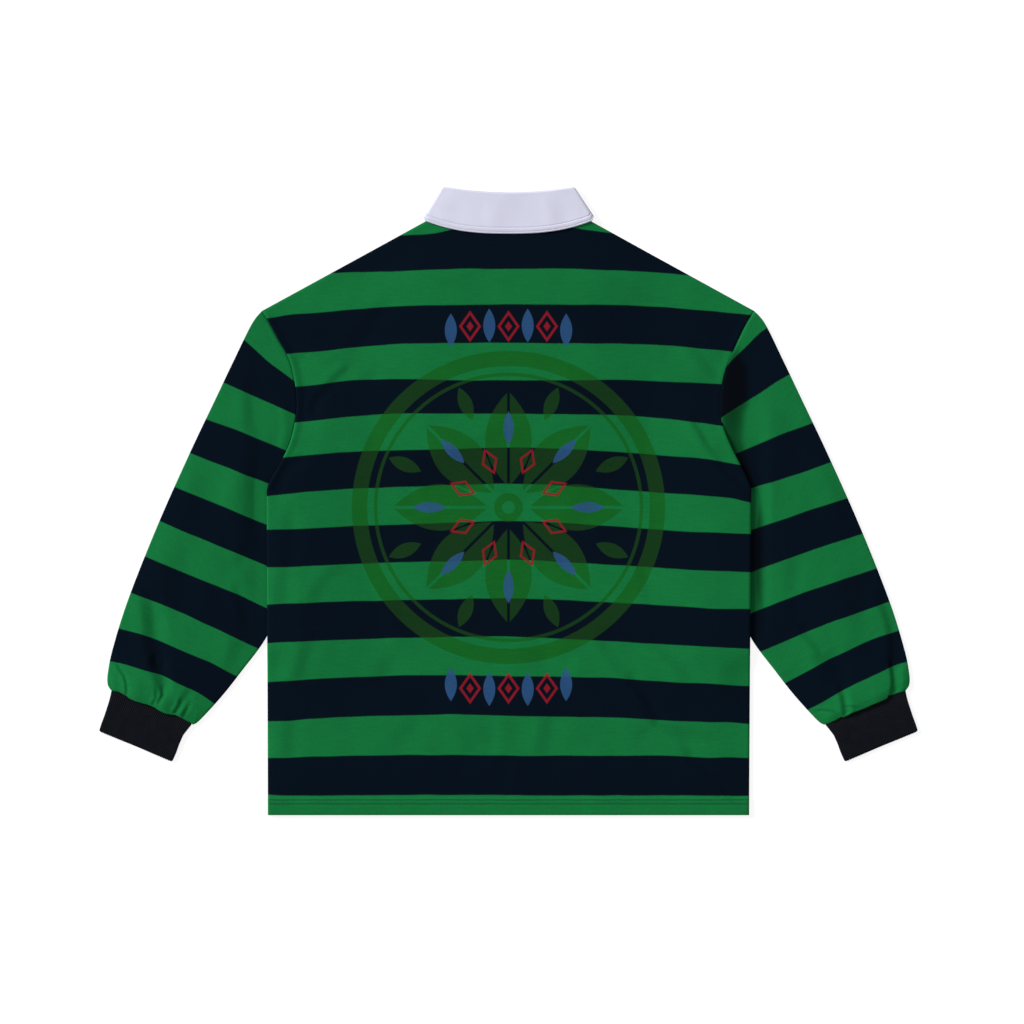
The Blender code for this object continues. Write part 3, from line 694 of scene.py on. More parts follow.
# a generic rosette in a ring, with red lozenges and blue leaves, in thin see-through ink
def printedOrnament(tree, colour, isNavy):
    maths, spread, blend = nodeMaths(tree)
    look = ornamentLook
    place = tree.nodes.new("ShaderNodeTexCoord")
    parts = tree.nodes.new("ShaderNodeSeparateXYZ")
    tree.links.new(place.outputs["Object"], parts.inputs[0])
    x = maths("SUBTRACT", maths("MULTIPLY", parts.outputs[0], 1000.0), look["middle"][0])
    y = maths("SUBTRACT", maths("MULTIPLY", parts.outputs[1], 1000.0), look["middle"][1])
    far = maths("SQRT", maths("ADD", maths("MULTIPLY", x, x), maths("MULTIPLY", y, y)))
    turn = maths("ARCTAN2", y, x)

    def soft(distance):
        return spread(distance, -look["softEdge"], look["softEdge"], 1.0, 0.0)

    def either(a, b):
        return maths("MAXIMUM", a, b)

    def outlined(shape, half):
        return soft(maths("SUBTRACT", maths("ABSOLUTE", shape), half))

    def ringAt(radius, half):
        return outlined(maths("SUBTRACT", far, radius), half)

    # place in one of count equal sectors: out from the middle, and sideways from the sector's axis
    def sector(count, offset):
        size = 2 * pi / count
        folded = maths("SUBTRACT", maths("WRAP", maths("ADD", turn, offset + size / 2), size, 0.0), size / 2)
        return maths("MULTIPLY", far, maths("COSINE", folded)), maths("MULTIPLY", far, maths("SINE", folded))

    # distance outside a pointed leaf that lies along the sector's axis
    def leaf(out, side, middle, half, width):
        reach = maths("DIVIDE", maths("SUBTRACT", out, middle), half)
        edge = maths("MULTIPLY", maths("SUBTRACT", 1.0, maths("MULTIPLY", reach, reach)), width)
        return maths("SUBTRACT", maths("ABSOLUTE", side), edge)

    def lozenge(out, side, middle, half, width):
        slope = maths("ADD", maths("DIVIDE", maths("ABSOLUTE", maths("SUBTRACT", out, middle)), half),
                      maths("DIVIDE", maths("ABSOLUTE", side), width))
        return maths("MULTIPLY", maths("SUBTRACT", slope, 1.0), min(half, width))

    out8, side8 = sector(8, 0.0)
    between8, sideBetween = sector(8, pi / 8)
    vein = maths("SUBTRACT", maths("ABSOLUTE", side8), look["vein"])
    petals = soft(maths("MAXIMUM", leaf(out8, side8, *look["petal"]), maths("SUBTRACT", 0.0, vein)))
    green = either(petals, soft(leaf(between8, sideBetween, *look["dart"])))
    for radius, half in (look["core"], *look["rings"]):
        green = either(green, ringAt(radius, half))
    colour = blend(green, colour, blend(isNavy, look["onGreen"], look["onNavy"]))

    apart, sideApart = sector(2, pi / 2)
    reds = outlined(lozenge(between8, sideBetween, *look["innerLozenge"]), look["innerLine"])
    for shift in look["rowShifts"]:
        shape = lozenge(apart, maths("SUBTRACT", sideApart, shift), *look["rowLozenge"])
        heart = soft(maths("ADD", shape, look["rowHeart"]))
        reds = either(reds, either(outlined(shape, look["rowLine"]), heart))
    colour = blend(maths("MULTIPLY", reds, look["redInk"]), colour, look["red"])

    leaves = soft(leaf(out8, side8, *look["innerLeaf"]))
    for shift, middle in look["rowLeafAt"]:
        aside = maths("SUBTRACT", sideApart, shift)
        leaves = either(leaves, soft(leaf(apart, aside, middle, *look["rowLeaf"])))
    return blend(maths("MULTIPLY", leaves, look["blueInk"]), colour, look["blue"])


ribLook = {
    "wales": 740.0,
    "courses": 620.0,
    "fuzz": 90.0,
    "shadedFurrow": (0.0014, 0.0030, 0.0062),
    "litCrest": (0.0112, 0.0114, 0.0134),
    # the ribs' share of the colour is painted shade in the furrows and painted light on the crests
    "ribShadeShare": 0.7,  # of the colour that goes by the ribs; the rest goes by the yarn
    "bump": 0.0004,
}


# black ribbed knit of the cuffs: dark and bluish between the ribs as painted shade, paler on the crests as
# painted light
def ribMaterial(knit):
    look = ribLook
    made, tree, shader = newMaterial("blackRib", 0.95, 0.06, 0.015)
    maths, spread, blend = nodeMaths(tree)
    place = clothPlace(tree)
    loops = useGroup(tree, knit, place, Wales=look["wales"], Courses=look["courses"])
    fuzz = noiseOn(tree, place, look["fuzz"], 4.0)
    uneven = maths("ADD", maths("MULTIPLY", loops.outputs["Tone"], 0.5), maths("MULTIPLY", fuzz, 0.5))
    yarn = maths("MULTIPLY", spread(uneven, 0.35, 0.65), 1.0 - look["ribShadeShare"])
    # the hoop holds the rib share, which lays painted shade between the ribs
    share = maths("ADD", yarn, maths("MULTIPLY", readAttribute(tree, "hoop"), look["ribShadeShare"]))
    tree.links.new(blend(share, look["shadedFurrow"], look["litCrest"]), shader.inputs["Base Color"])
    addBump(tree, shader, loops.outputs["Height"], 0.7, look["bump"])
    return made


twillLook = {
    "ribs": 1400.0,  # slanting ribs a metre, across and along
    "cloud": 22.0,
    "fleck": 900.0,
    "cloudShare": 0.6,
    "dark": (0.62, 0.62, 0.765),
    "pale": (0.71, 0.705, 0.85),
    "bump": 0.00012,
}


# off-white cotton twill: fine slanting ribs, a little uneven
def twillMaterial():
    look = twillLook
    made, tree, shader = newMaterial("whiteTwill", 0.85, 0.15, 0.03)
    maths, spread, blend = nodeMaths(tree)
    place = clothPlace(tree)
    parts = tree.nodes.new("ShaderNodeSeparateXYZ")
    tree.links.new(place, parts.inputs[0])
    slant = maths("MULTIPLY", maths("ADD", parts.outputs[0], parts.outputs[1]), look["ribs"])
    rib = maths("SINE", maths("MULTIPLY", slant, pi))
    cloud = maths("MULTIPLY", noiseOn(tree, place, look["cloud"]), look["cloudShare"])
    fleck = maths("MULTIPLY", noiseOn(tree, place, look["fleck"]), 1.0 - look["cloudShare"])
    share = maths("ADD", cloud, fleck)
    colour = blend(share, look["dark"], look["pale"])
    # painted shade on the collar's leaf darkens the colour
    shown = scaleColour(tree, colour, maths("SUBTRACT", 1.0, readAttribute(tree, "paintedShade")))
    tree.links.new(shown, shader.inputs["Base Color"])
    tree.links.new(spread(share, 0.3, 0.7, 0.8, 0.92), shader.inputs["Roughness"])
    addBump(tree, shader, rib, 0.25, look["bump"])
    return made


# the colour and roughness of a thing without a weave, uneven by fine grain
def grainedMaterial(name, roughness, specular, scale, colours, roughs):
    made, tree, shader = newMaterial(name, roughness, specular)
    spread, blend = nodeMaths(tree)[1:]
    place = tree.nodes.new("ShaderNodeTexCoord")
    grain = noiseOn(tree, place.outputs["Object"], scale)
    tree.links.new(blend(grain, *colours), shader.inputs["Base Color"])
    tree.links.new(spread(grain, 0.3, 0.7, *roughs), shader.inputs["Roughness"])
    return made, tree, shader, grain


def threadMaterial(name, colour):
    colours = (tuple(c * 0.7 for c in colour), colour)
    return grainedMaterial(name, 0.7, 0.15, 1500.0, colours, (0.6, 0.8))[0]


# satin rubber with faint moulding marks
def buttonMaterial():
    colours = ((0.64, 0.64, 0.66), (0.75, 0.75, 0.76))
    made, tree, shader, grain = grainedMaterial("whiteRubber", 0.5, 0.4, 700.0, colours, (0.42, 0.58))
    addBump(tree, shader, grain, 0.2, 0.0001)
    return made


knit = knitGroup()
looks = {
    "printedJersey": jerseyMaterial(knit, True),
    "jersey": jerseyMaterial(knit, False),
    "rib": ribMaterial(knit),
    "twill": twillMaterial(),
    "rubber": buttonMaterial(),
    "darkThread": threadMaterial("darkThread", (0.003, 0.036, 0.014)),
    "whiteThread": threadMaterial("whiteThread", (0.56, 0.56, 0.67)),
}
print("materials made")


# a grid of cloth whose every corner is put by place(i, j) -> (x, y, z), (across, along), hoop, painted shade
def clothGrid(columns, rows, place):
    bm = bmesh.new()
    bmesh.ops.create_grid(bm, x_segments=columns, y_segments=rows, size=1.0)
    hoopLayer = bm.verts.layers.float.new("hoop")
    # painted shade: darkens the colour in creases, in the shadow beside the right armhole and on the collar's
    # leaf
    paintedShadeLayer = bm.verts.layers.float.new("paintedShade")
    across = {}
    for vert in bm.verts:
        i = round((vert.co.x + 1.0) / 2.0 * columns)
        j = round((vert.co.y + 1.0) / 2.0 * rows)
        vert.co, across[vert], vert[hoopLayer], vert[paintedShadeLayer] = place(i, j)
    uvLayer = bm.loops.layers.uv.new("cloth")
    for face in bm.faces:
        for loop in face.loops:
            u, v = across[loop.vert]
            loop[uvLayer].uv = (u * mm, v * mm)
    return bm


weldGap = 0.004


# welds a flattened tube along its edge and turns its faces outwards
def closeTube(bm):
    bmesh.ops.remove_doubles(bm, verts=bm.verts, dist=weldGap)
    bmesh.ops.recalc_face_normals(bm, faces=bm.faces)
    bm.normal_update()
    highest = max(bm.faces, key=lambda face: face.calc_center_median().z)
    if highest.normal.z < 0.0:
        bmesh.ops.reverse_faces(bm, faces=bm.faces)


# turns a mesh in millimetres into a finished piece that rides on the shirt
def finishPiece(name, bm, look, wall=0.0):
    bmesh.ops.scale(bm, vec=(mm, mm, mm), verts=bm.verts)
    mesh = bpy.data.meshes.new(name)
    bm.to_mesh(mesh)
    bm.free()
    mesh.shade_smooth()
    mesh.materials.append(looks[look])
    piece = bpy.data.objects.new(name, mesh)
    bpy.context.scene.collection.objects.link(piece)
    if wall:
        solid = piece.modifiers.new("wall", "SOLIDIFY")
        solid.thickness = wall * mm
        solid.offset = -1.0
        solid.use_rim = True
    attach(piece, "root")
    return piece


panelMesh = {
    "back": {"columns": 210, "bodyRows": 108, "armRows": 62, "shoulderRows": 34, "dip": "backDip"},
    "front": {"columns": 120, "bodyRows": 60, "armRows": 34, "shoulderRows": 24, "dip": "frontDip"},
    "hemRows": [0.0, 0.4, 1.0, 2.2, 5.0, 8.5, 12.0, 12.9, 13.4, 13.8, 14.2, 14.7, 16.3, 17.9, 18.5, 18.9,
                19.3, 19.9, 20.8, 22.6],
    "crowd": 0.18,  # how much closer the columns lie at the sides
    "stitchLines": (13.8, 18.9),
    "stitchWander": ((0.35, 14, 7.0),),
    "grooveDepth": 0.35,
    "grooveHalf": 0.7,
    "hemPucker": ((0.12, 16, 2.0),),
}
# how a panel's side is finished; the pairs are of the left and the right side
sideLook = {
    "seam": (1.0, 0.06),  # levels between which the armhole's seam is, with their runs
    "seamEnd": (2.02, 0.08),
    "ridgeIn": (11.0, 9.0),
    "seamRoll": (0.28, 1.6),  # how far the edge rolls down, and over which width
    "roll": 0.45,
    "rollWidth": (5.5, 2.6),
    "hemRoll": (0.5, 2.2),
}


# rows from the hem to the neck: up to 1 is the body, up to 2 the armhole, up to 3 the shoulder
def rowLevels(count):
    depth = bodyCut["underarmY"] - bodyCut["hemY"]
    levels = [up / depth for up in panelMesh["hemRows"]]
    start = levels[-1]
    levels += [mix(start, 1.0, k / count["bodyRows"]) for k in range(1, count["bodyRows"] + 1)]
    levels += [1.0 + k / count["armRows"] for k in range(1, count["armRows"] + 1)]
    levels += [2.0 + k / count["shoulderRows"] for k in range(1, count["shoulderRows"] + 1)]
    return levels


# the panel's side at a level, as y, left, right and the share of the neck's dip
def bodySide(level):
    cut = bodyCut
    if level <= 1.0:
        y = mix(cut["hemY"], cut["underarmY"], level)
        return y, mix(cut["hemOut"], armhole[0][1], level), mix(cut["hemOut"], armhole[0][2], level), 0.0
    if level <= 2.0:
        up, left, right = splinePoint(armhole, (level - 1.0) * (len(armhole) - 1))
        dip = cut["dipAtTip"] * rampUp(up, *cut["dipFrom"])
        return cut["underarmY"] + up, left - cut["trim"], right - cut["trim"], dip
    share = level - 2.0
    y = mix(cut["shoulderY"], cut["neckY"], share)
    left, right = (mix(armhole[-1][k], cut["neckOut"], share) for k in (1, 2))
    return y, left, right, mix(cut["dipAtTip"], 1.0, share)


# how much the back's side stands up along the armhole's seam, and rolls down at the side seams
def edgeShape(level, fromSide, isRight):
    look = sideLook
    arm = rampUp(level, *look["seam"]) * rampDown(level, *look["seamEnd"])
    ridge = bodyCut["seamRidge"][isRight] * arm * rampDown(fromSide, *look["ridgeIn"])
    rolled = look["seamRoll"][0] * (1.0 - smooth(fromSide / look["seamRoll"][1])) * arm
    return ridge - rolled - look["roll"] * (1.0 - smooth(fromSide / look["rollWidth"][isRight])) * (1.0 - arm)


# the height above the hem of a row of stitches, a little uneven
def stitchUp(line, x):
    return line + waveSum(panelMesh["stitchWander"], x, line)


# a body panel as a thin shell over its height, with the hem's step and stitch grooves
def makePanel(name, look):
    count = panelMesh[name]
    crowd = panelMesh["crowd"]
    levels = rowLevels(count)
    sides = [bodySide(level) for level in levels]

    def place(i, j):
        y, left, right, dip = sides[j]
        column = 2.0 * i / count["columns"] - 1.0
        column = (1.0 - crowd) * column + crowd * sin(column * pi / 2)
        side = right if column > 0 else left
        x = column * side
        y -= bodyCut[count["dip"]] * dip * (1.0 - column * column)
        if name == "front":
            return (x, y, frontHeight(x, y) + hemWall(y)), (x, y), bodyHoop(x, y), 0.0
        # the height, and the painted shade of the back's creases
        z, paintedShade = backHeight(x, y)
        fromHem = y - bodyCut["hemY"]
        z += hemWall(y) + edgeShape(levels[j], side - abs(x), column > 0)
        z -= sideLook["hemRoll"][0] * (1.0 - smooth(fromHem / sideLook["hemRoll"][1]))
        for line in panelMesh["stitchLines"]:
            z -= panelMesh["grooveDepth"] * hump(fromHem - stitchUp(line, x), panelMesh["grooveHalf"])
        if fromHem < bodyCut["hemDepth"]:
            z += waveSum(panelMesh["hemPucker"], x, y * 0.5)
        return (x, y, z), (x, y), bodyHoop(x, y), paintedShade

    bm = clothGrid(count["columns"], len(levels) - 1, place)
    piece = finishPiece(name + "Panel", bm, look, bodyCut["wall"])
    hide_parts(name)
    return piece


backPanel = makePanel("back", "printedJersey")
frontPanel = makePanel("front", "jersey")
print("body panels made")

sleeveCut = {
    "outer": [(321.0, 221.0), (343.0, 176.3), (364.4, 131.3), (400.0, 56.3), (440.0, -33.8), (475.6, -123.8),
              (494.4, -183.8), (500.6, -213.8), (501.0, -228.8), (496.9, -236.3)],
    "inner": [(297.0, -10.0), (286.0, -45.0), (279.0, -85.0), (283.0, -125.0), (303.1, -171.3),
              (334.4, -213.8), (358.1, -243.8), (385.6, -273.8), (394.6, -279.5)],
    "length": 430.0,
    "wayUp": (-0.28, 0.96),  # from the cuff up the sleeve
    "loft": 2.6,
    "loftFrom": 0.3,
    "loftRound": 0.7,
    "puff": 2.4,
    "puffNear": (70.0, 60.0),
    "puffRound": 0.62,
    "clear": (308.0, 24.0),  # from here out the body doesn't lie on the sleeve
    "flatter": 0.25,  # how much loft the cuff's seam takes away, and over which length
    "flatterNear": 12.0,
    "foldsAtSeam": 0.35,
    "foldsFrom": 5.0,
    "waves": ((0.5, 70, 6.5), (0.12, 22, 2.5)),
    "edgeRound": 1.45,
    "stations": 184,
    "crowd": 0.11,
    "topColumns": 116,
    "lowColumns": 44,
    "tuck": 1.5,
    "fan": 250.0,  # spreads the cloth out from the underarm, where the seam and the inner edge part
    "fanLength": 0.18,
    "fanIn": (0.3, 0.5),
    "fanOut": (1.0, 0.06),
    "fanLean": 0.3,
    "seamFrom": (0.93, 0.07),
    "overhang": 0.7,  # of the upper cloth over the cuff
    "overhangFrom": (0.985, 0.015),
    "turnIn": 0.3,
    "turnInNear": 2.4,
    "arch": 0.9,  # how far the lower cloth stands off the floor at most, and where
    "archWave": (60, 12.0),
    "archOut": (330.0, 30.0),
    "archFrom": (0.1, 0.1),
    "underarmLift": 1.2,
    "underarmNear": (8.0, 5.0),
    "wall": 1.1,
}
puffScale = 110.0  # about the sleeve's width there
# round puffs between the gathers at the cuff: across from the outer edge, width, height, length up from it
cuffPuffs = {
    "left": [(0.05, 4.5, 0.7, 36.0), (0.32, 9.0, 1.2, 55.0), (0.64, 7.5, 1.4, 45.0), (0.84, 5.0, 0.8, 26.0)],
    "right": [(0.08, 7.0, 0.6, 50.0), (0.36, 11.0, 1.1, 44.0), (0.68, 6.0, 1.1, 34.0),
              (0.90, 5.0, 0.9, 30.0)],
}
# where the painted shadow of the body's edge beside the right armhole ends: height, how far out
armholeShadowEdge = [(-210.0, 300.0), (-185.0, 311.0), (-150.0, 317.0), (-30.0, 317.0), (10.0, 310.0),
              (30.0, 304.0), (58.0, 296.0), (80.0, 292.0), (108.0, 294.0), (122.0, 299.0), (165.0, 299.0),
              (182.0, 290.0), (206.0, 286.0)]
# how dark the painted shadow is, how its edge fades, and where it starts and ends up the sleeve
armholeShadowLook = {"paintedShade": 0.56, "edge": (6.0, 12.0), "low": (-208.0, 30.0), "high": (206.0, 34.0)}
sleeveCreases = {
    "left": [layCrease(row) for row in [
        ([(-325, 144, 0.7), (-326, 120), (-325, 98, 0.7)], 9, 1.1, 0.4, 17),
        ([(-274, 114, 0.8), (-272, 92), (-276, 66, 0.8)], 7, 1.2, 0.6, 10),
        ([(-322, 36, 0.6), (-326, 6), (-325, -26, 0.6)], 16, 1.9, 0.4, 26),
        ([(-334, -62), (-338, -72)], 8, 0.9, 0.4, 13),
        ([(-342, -112), (-336, -132), (-332, -151)], 6, 1.1, 0.4, 14),
        ([(-338, -175, 0.7), (-342, -190), (-344, -204, 0.7)], 12, 1.3, 0.4, 18),
        ([(-455, -118, 0.5), (-451, -144), (-449, -172), (-444, -200)], 9, 2.8, 0.3, 19),
        ([(-412, -60, 0.5), (-420, -100), (-422, -136, 0.5)], 15, 1.2, 0.5, 25),
        ([(-380, 40, 0.5), (-392, 0), (-398, -36, 0.4)], 15, 1.0, 0.5, 26),
        ([(-490, -205, 0.7), (-485, -213), (-481, -219), (-478, -230), (-478, -239)], 1.9, 1.3, 0.4, 5),
        ([(-444, -204), (-440, -216), (-437, -228), (-437, -238, 0.6)], 7.5, 2.7, 0.2, 13),
        ([(-434, -234, 0.6), (-433, -242), (-437, -249)], 2.2, 1.5, 0.4, 5),
        ([(-441, -240, 0.6), (-441, -247), (-444, -251)], 1.8, 1.1, 0.4, 4),
        ([(-399, -232, 0.5), (-404, -240, 0.7), (-409, -249, 0.8)], 4.5, 1.2, 0.3, 9),
        ([(-411, -250, 0.7), (-413, -256), (-417, -262)], 1.9, 1.4, 0.4, 5),
        ([(-400, -253, 0.6), (-403, -259), (-407, -266)], 2.2, 1.3, 0.4, 5),
        ([(-387, -267), (-390, -274)], 1.9, 0.6, 0.4, 4),
    ]],
    "right": [layCrease(row) for row in [
        ([(285, 181, 0.8), (284, 145), (283, 108, 0.8)], 17, 1.2, 0.8, 12),
        ([(281, 112, 0.8), (278, 88), (283, 58, 0.6)], 10, 1.2, 0.8, 10),
        ([(295, 56), (302, 34), (304, 15)], 9, 1.2, 0.8, 10),
        ([(312, 20, 0.7), (311, -60), (310, -120), (308, -176, 0.6)], 8, 1.4, 0.8, 12),
        ([(349, -83), (350, -94), (349, -104)], 10, 1.0, 0.4, 16),
        ([(350, -135), (354, -143)], 9, 0.9, 0.4, 13),
        ([(366, -164), (375, -175), (384, -185)], 5.5, 1.3, 0.4, 14),
        ([(392, -196, 0.7), (400, -210), (404, -222, 0.7)], 14, 1.9, 0.35, 17),
        ([(465, -122, 0.6), (475, -150), (479, -171), (478, -198)], 9, 2.9, 0.2, 17),
        ([(400, 60, 0.5), (416, 10), (428, -40, 0.5)], 16, 1.1, 0.5, 26),
        ([(424, -92, 0.5), (432, -130), (434, -166, 0.5)], 14, 1.2, 0.5, 24),
        ([(330, 120, 0.5), (342, 80), (350, 40, 0.5)], 14, 1.0, 0.5, 24),
        ([(384, -261, 0.8), (392, -260.5), (401, -261.5), (410, -264), (415, -267.5)], 1.6, 1.1, 0.4, 4),
        ([(412, -236, 0.6), (416.5, -247), (418.5, -262)], 3.8, 2.2, 0.25, 9),
        ([(422, -256, 0.7), (428.5, -255), (434.5, -256.5), (439.5, -259.5)], 1.6, 1.0, 0.4, 4),
        ([(477, -206), (479, -220), (479, -232), (478, -242)], 3.3, 2.6, 0.2, 13),
    ]],
}
# how far the seam of the cuff wanders up the sleeve, across from its outer edge
seamWave = {
    "left": [(0.0, 0.0), (0.1, 2.6), (0.18, 1.8), (0.24, 0.1), (0.31, 0.1), (0.38, 1.0), (0.47, 2.2),
             (0.53, 2.3), (0.61, 0.9), (0.68, 0.5), (0.74, 1.9), (0.8, 3.7), (0.87, 3.2), (0.96, 2.3),
             (1.0, 0.0)],
    "right": [(0.0, 0.0), (0.146, 1.75), (0.214, 3.2), (0.24, 0.4), (0.32, 0.3), (0.417, 0.45), (0.515, 0.1),
              (0.592, 0.5), (0.66, 0.9), (0.748, 0.15), (0.777, 0.0), (0.806, 1.6), (0.874, 0.6), (1.0, 0.0)],
}


# how dark the painted shadow is that the body's edge casts on the sleeve beside the right armhole
def paintedArmholeShadow(out, y):
    look = armholeShadowLook
    edge = readRows(armholeShadowEdge, y) + look["edge"][0]
    return look["paintedShade"] * rampDown(out, edge, look["edge"][1]) * between(y, look)


# rises from 0 at the two edges of a flattened tube to 1 inside
def insideEdges(u, steepness):
    return min(1.0, sin(pi * u) * steepness)


# the room in the sleeve with its loft, puffs and creases, and the painted shade of its creases and of the
# right armhole's shadow
def sleeveSpace(side, u, station, out, y):
    cut = sleeveCut
    clear, edge = rampUp(out, *cut["clear"]), insideEdges(u, 4)
    fromCuff = (1.0 - station) * cut["length"]
    loft = cut["loft"] * sin(pi * u) ** cut["loftRound"] * smooth(station / cut["loftFrom"])
    puff = cut["puff"] * sin(pi * u) ** cut["puffRound"] * rampDown(fromCuff, *cut["puffNear"])
    loft = (loft + puff) * clear
    for across, width, height, length in cuffPuffs[side]:
        near = hump((u - across) * puffScale, width)
        loft += height * near * smooth(1.0 - fromCuff / length) * edge
    atSeam = 1.0 - cut["flatter"] * smooth(1.0 - fromCuff / cut["flatterNear"])
    x = -out if side == "left" else out
    folds, paintedShade = creaseSum(sleeveCreases[side], x, y)
    folds = (folds + waveSum(cut["waves"], x, y) * clear) * edge
    folds *= mix(cut["foldsAtSeam"], 1.0, smooth(fromCuff / cut["foldsFrom"]))
    # painted shadow of the body's edge on the right sleeve beside the armhole
    if side == "right":
        paintedShade += paintedArmholeShadow(out, y)
    return bodyCut["layerGap"] + softFloor(loft * atSeam + folds), paintedShade * edge


# shares across a flattened tube, closer together at its two rounded edges
def acrossShares(width, columns):
    near = [0.0, 0.1, 0.4, 0.9, 1.6, 2.8]
    edge = [d / width for d in near]
    inner = columns - 2 * (len(near) - 1)
    middle = [mix(edge[-1], 1.0 - edge[-1], k / inner) for k in range(1, inner)]
    return edge + middle + [1.0 - share for share in reversed(edge)]


# how round a tube's edge is: 0 at the very edge, 1 from the radius in
def roundEdge(fromEdge, radius):
    return sqrt(max(0.0, 1.0 - (1.0 - min(1.0, fromEdge / radius)) ** 2))


# a place moved up the sleeve
def movedUp(out, y, up):
    return out + sleeveCut["wayUp"][0] * up, y + sleeveCut["wayUp"][1] * up


# a flattened tube over the sleeve's solid, welded along its outer edge
def makeSleeve(side):
    sign, seamColumn = (-1, 1) if side == "left" else (1, 2)
    cut = sleeveCut
    steps = [k / cut["stations"] for k in range(cut["stations"] + 1)]
    stations = [min(1.0, max(0.0, step + cut["crowd"] * sin(pi * step))) for step in steps]
    halfGap, underarmY = bodyCut["seamGap"] / 2, bodyCut["underarmY"]
    seamPoints = [(row[seamColumn] + halfGap, underarmY + row[0]) for row in reversed(armhole)]
    outer = evenPoints([seamPoints[0], *cut["outer"]], stations)
    inner = evenPoints([seamPoints[-1], *cut["inner"]], stations)
    tip, underarm, outerEnd, innerEnd = seamPoints[0], seamPoints[-1], cut["outer"][-1], cut["inner"][-1]

    def plan(u, j, isTop):
        t = stations[j]
        start = splinePoint(seamPoints, u * (len(seamPoints) - 1))
        ruled = mixPoint(start, mixPoint(outerEnd, innerEnd, u), t)
        atOuter, atInner = mixPoint(tip, outerEnd, t), mixPoint(underarm, innerEnd, t)
        out, y = (r + (1 - u) * (o - a) + u**4 * (i - b)
                  for r, o, a, i, b in zip(ruled, outer[j], atOuter, inner[j], atInner))
        fan = cut["fan"] * t * exp(-t / cut["fanLength"])
        fan *= rampUp(u, *cut["fanIn"]) * rampDown(u, *cut["fanOut"])
        up = readRows(seamWave[side], u) * rampUp(t, *cut["seamFrom"])
        if isTop:
            up -= cut["overhang"] * rampUp(t, *cut["overhangFrom"]) * insideEdges(u, 6)
        return movedUp(out + fan, y + cut["fanLean"] * fan, up)

    # the lower cloth's height, a little off the floor in places
    def lowHeight(j, out, y, middle, bend):
        arch = max(0.0, softNoise(out, y, *cut["archWave"])) * rampUp(out, *cut["archOut"])
        arch *= rampUp(stations[j], *cut["archFrom"])
        fromUnderarm = hypot(out - underarm[0], y - underarm[1])
        atUnderarm = cut["underarmLift"] * rampDown(fromUnderarm, *cut["underarmNear"])
        return middle - (middle - cut["arch"] * arch - atUnderarm) * bend

    shares = {}

    def place(i, j):
        width = hypot(inner[j][0] - outer[j][0], inner[j][1] - outer[j][1])
        if j not in shares:
            low = [1.0 - share for share in acrossShares(width, cut["lowColumns"])]
            shares[j] = (acrossShares(width, cut["topColumns"]), low)
        isTop = i <= cut["topColumns"]
        u = shares[j][0][i] if isTop else shares[j][1][i - cut["topColumns"]]
        out, y = plan(u, j, isTop)
        middle = bodyCut["wall"] + bodyCut["layerGap"] / 2
        bend = roundEdge(min(u, 1.0 - u) * width, cut["edgeRound"])
        if isTop:
            # the height, and the painted shade of the sleeve's creases and of the armhole's shadow
            space, paintedShade = sleeveSpace(side, u, stations[j], out, y)
            z = middle + (2 * bodyCut["wall"] + space - middle) * bend
            fromCuff = (1.0 - stations[j]) * cut["length"]
            z -= cut["turnIn"] * (1.0 - smooth(fromCuff / cut["turnInNear"])) * bend
            if j == 0:
                out -= cut["tuck"] * insideEdges(u, 5)
        else:
            z, paintedShade = lowHeight(j, out, y, middle, bend), 0.0
        return (sign * out, y, z), (u * width, stations[j] * cut["length"]), sleeveHoop(side, out, y), paintedShade

    bm = clothGrid(cut["topColumns"] + cut["lowColumns"], cut["stations"], place)
    closeTube(bm)
    piece = finishPiece("sleeve" + side.capitalize(), bm, "jersey", cut["wall"])
    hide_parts("sleeve_" + side)
    return piece


sleeves = {side: makeSleeve(side) for side in ("left", "right")}
print("sleeves made")

cuffCut = {
    "outer": [(496.4, -236.2), (497.0, -241.0), (498.7, -248.3), (501.4, -257.1), (505.2, -268.6),
              (509.0, -278.9), (511.6, -287.4)],
    "inner": [(395.2, -279.4), (399.4, -284.0), (403.1, -288.4), (406.4, -292.9), (408.2, -296.8),
              (411.5, -304.4), (415.2, -314.6), (420.2, -325.6)],
    "length": 53.0,
    "ribs": 44,
    "ribHeight": 0.7,
    "ribFade": (0.4, 0.45),  # how strong the ribs still are from this share of the length on
    "perRib": 4,
    "steps": 36,
    "tuck": 0.9,
    "inset": 1.0,
    "startLength": 2.2,
    "seamReach": 12.0,
    "cornerRound": 1.6,
    "edgeRound": 1.95,
    "rollIn": 0.75,
    "wave": (0.3, 24, 8.0),
    "wall": 1.1,
    "thick": 3.9,
}


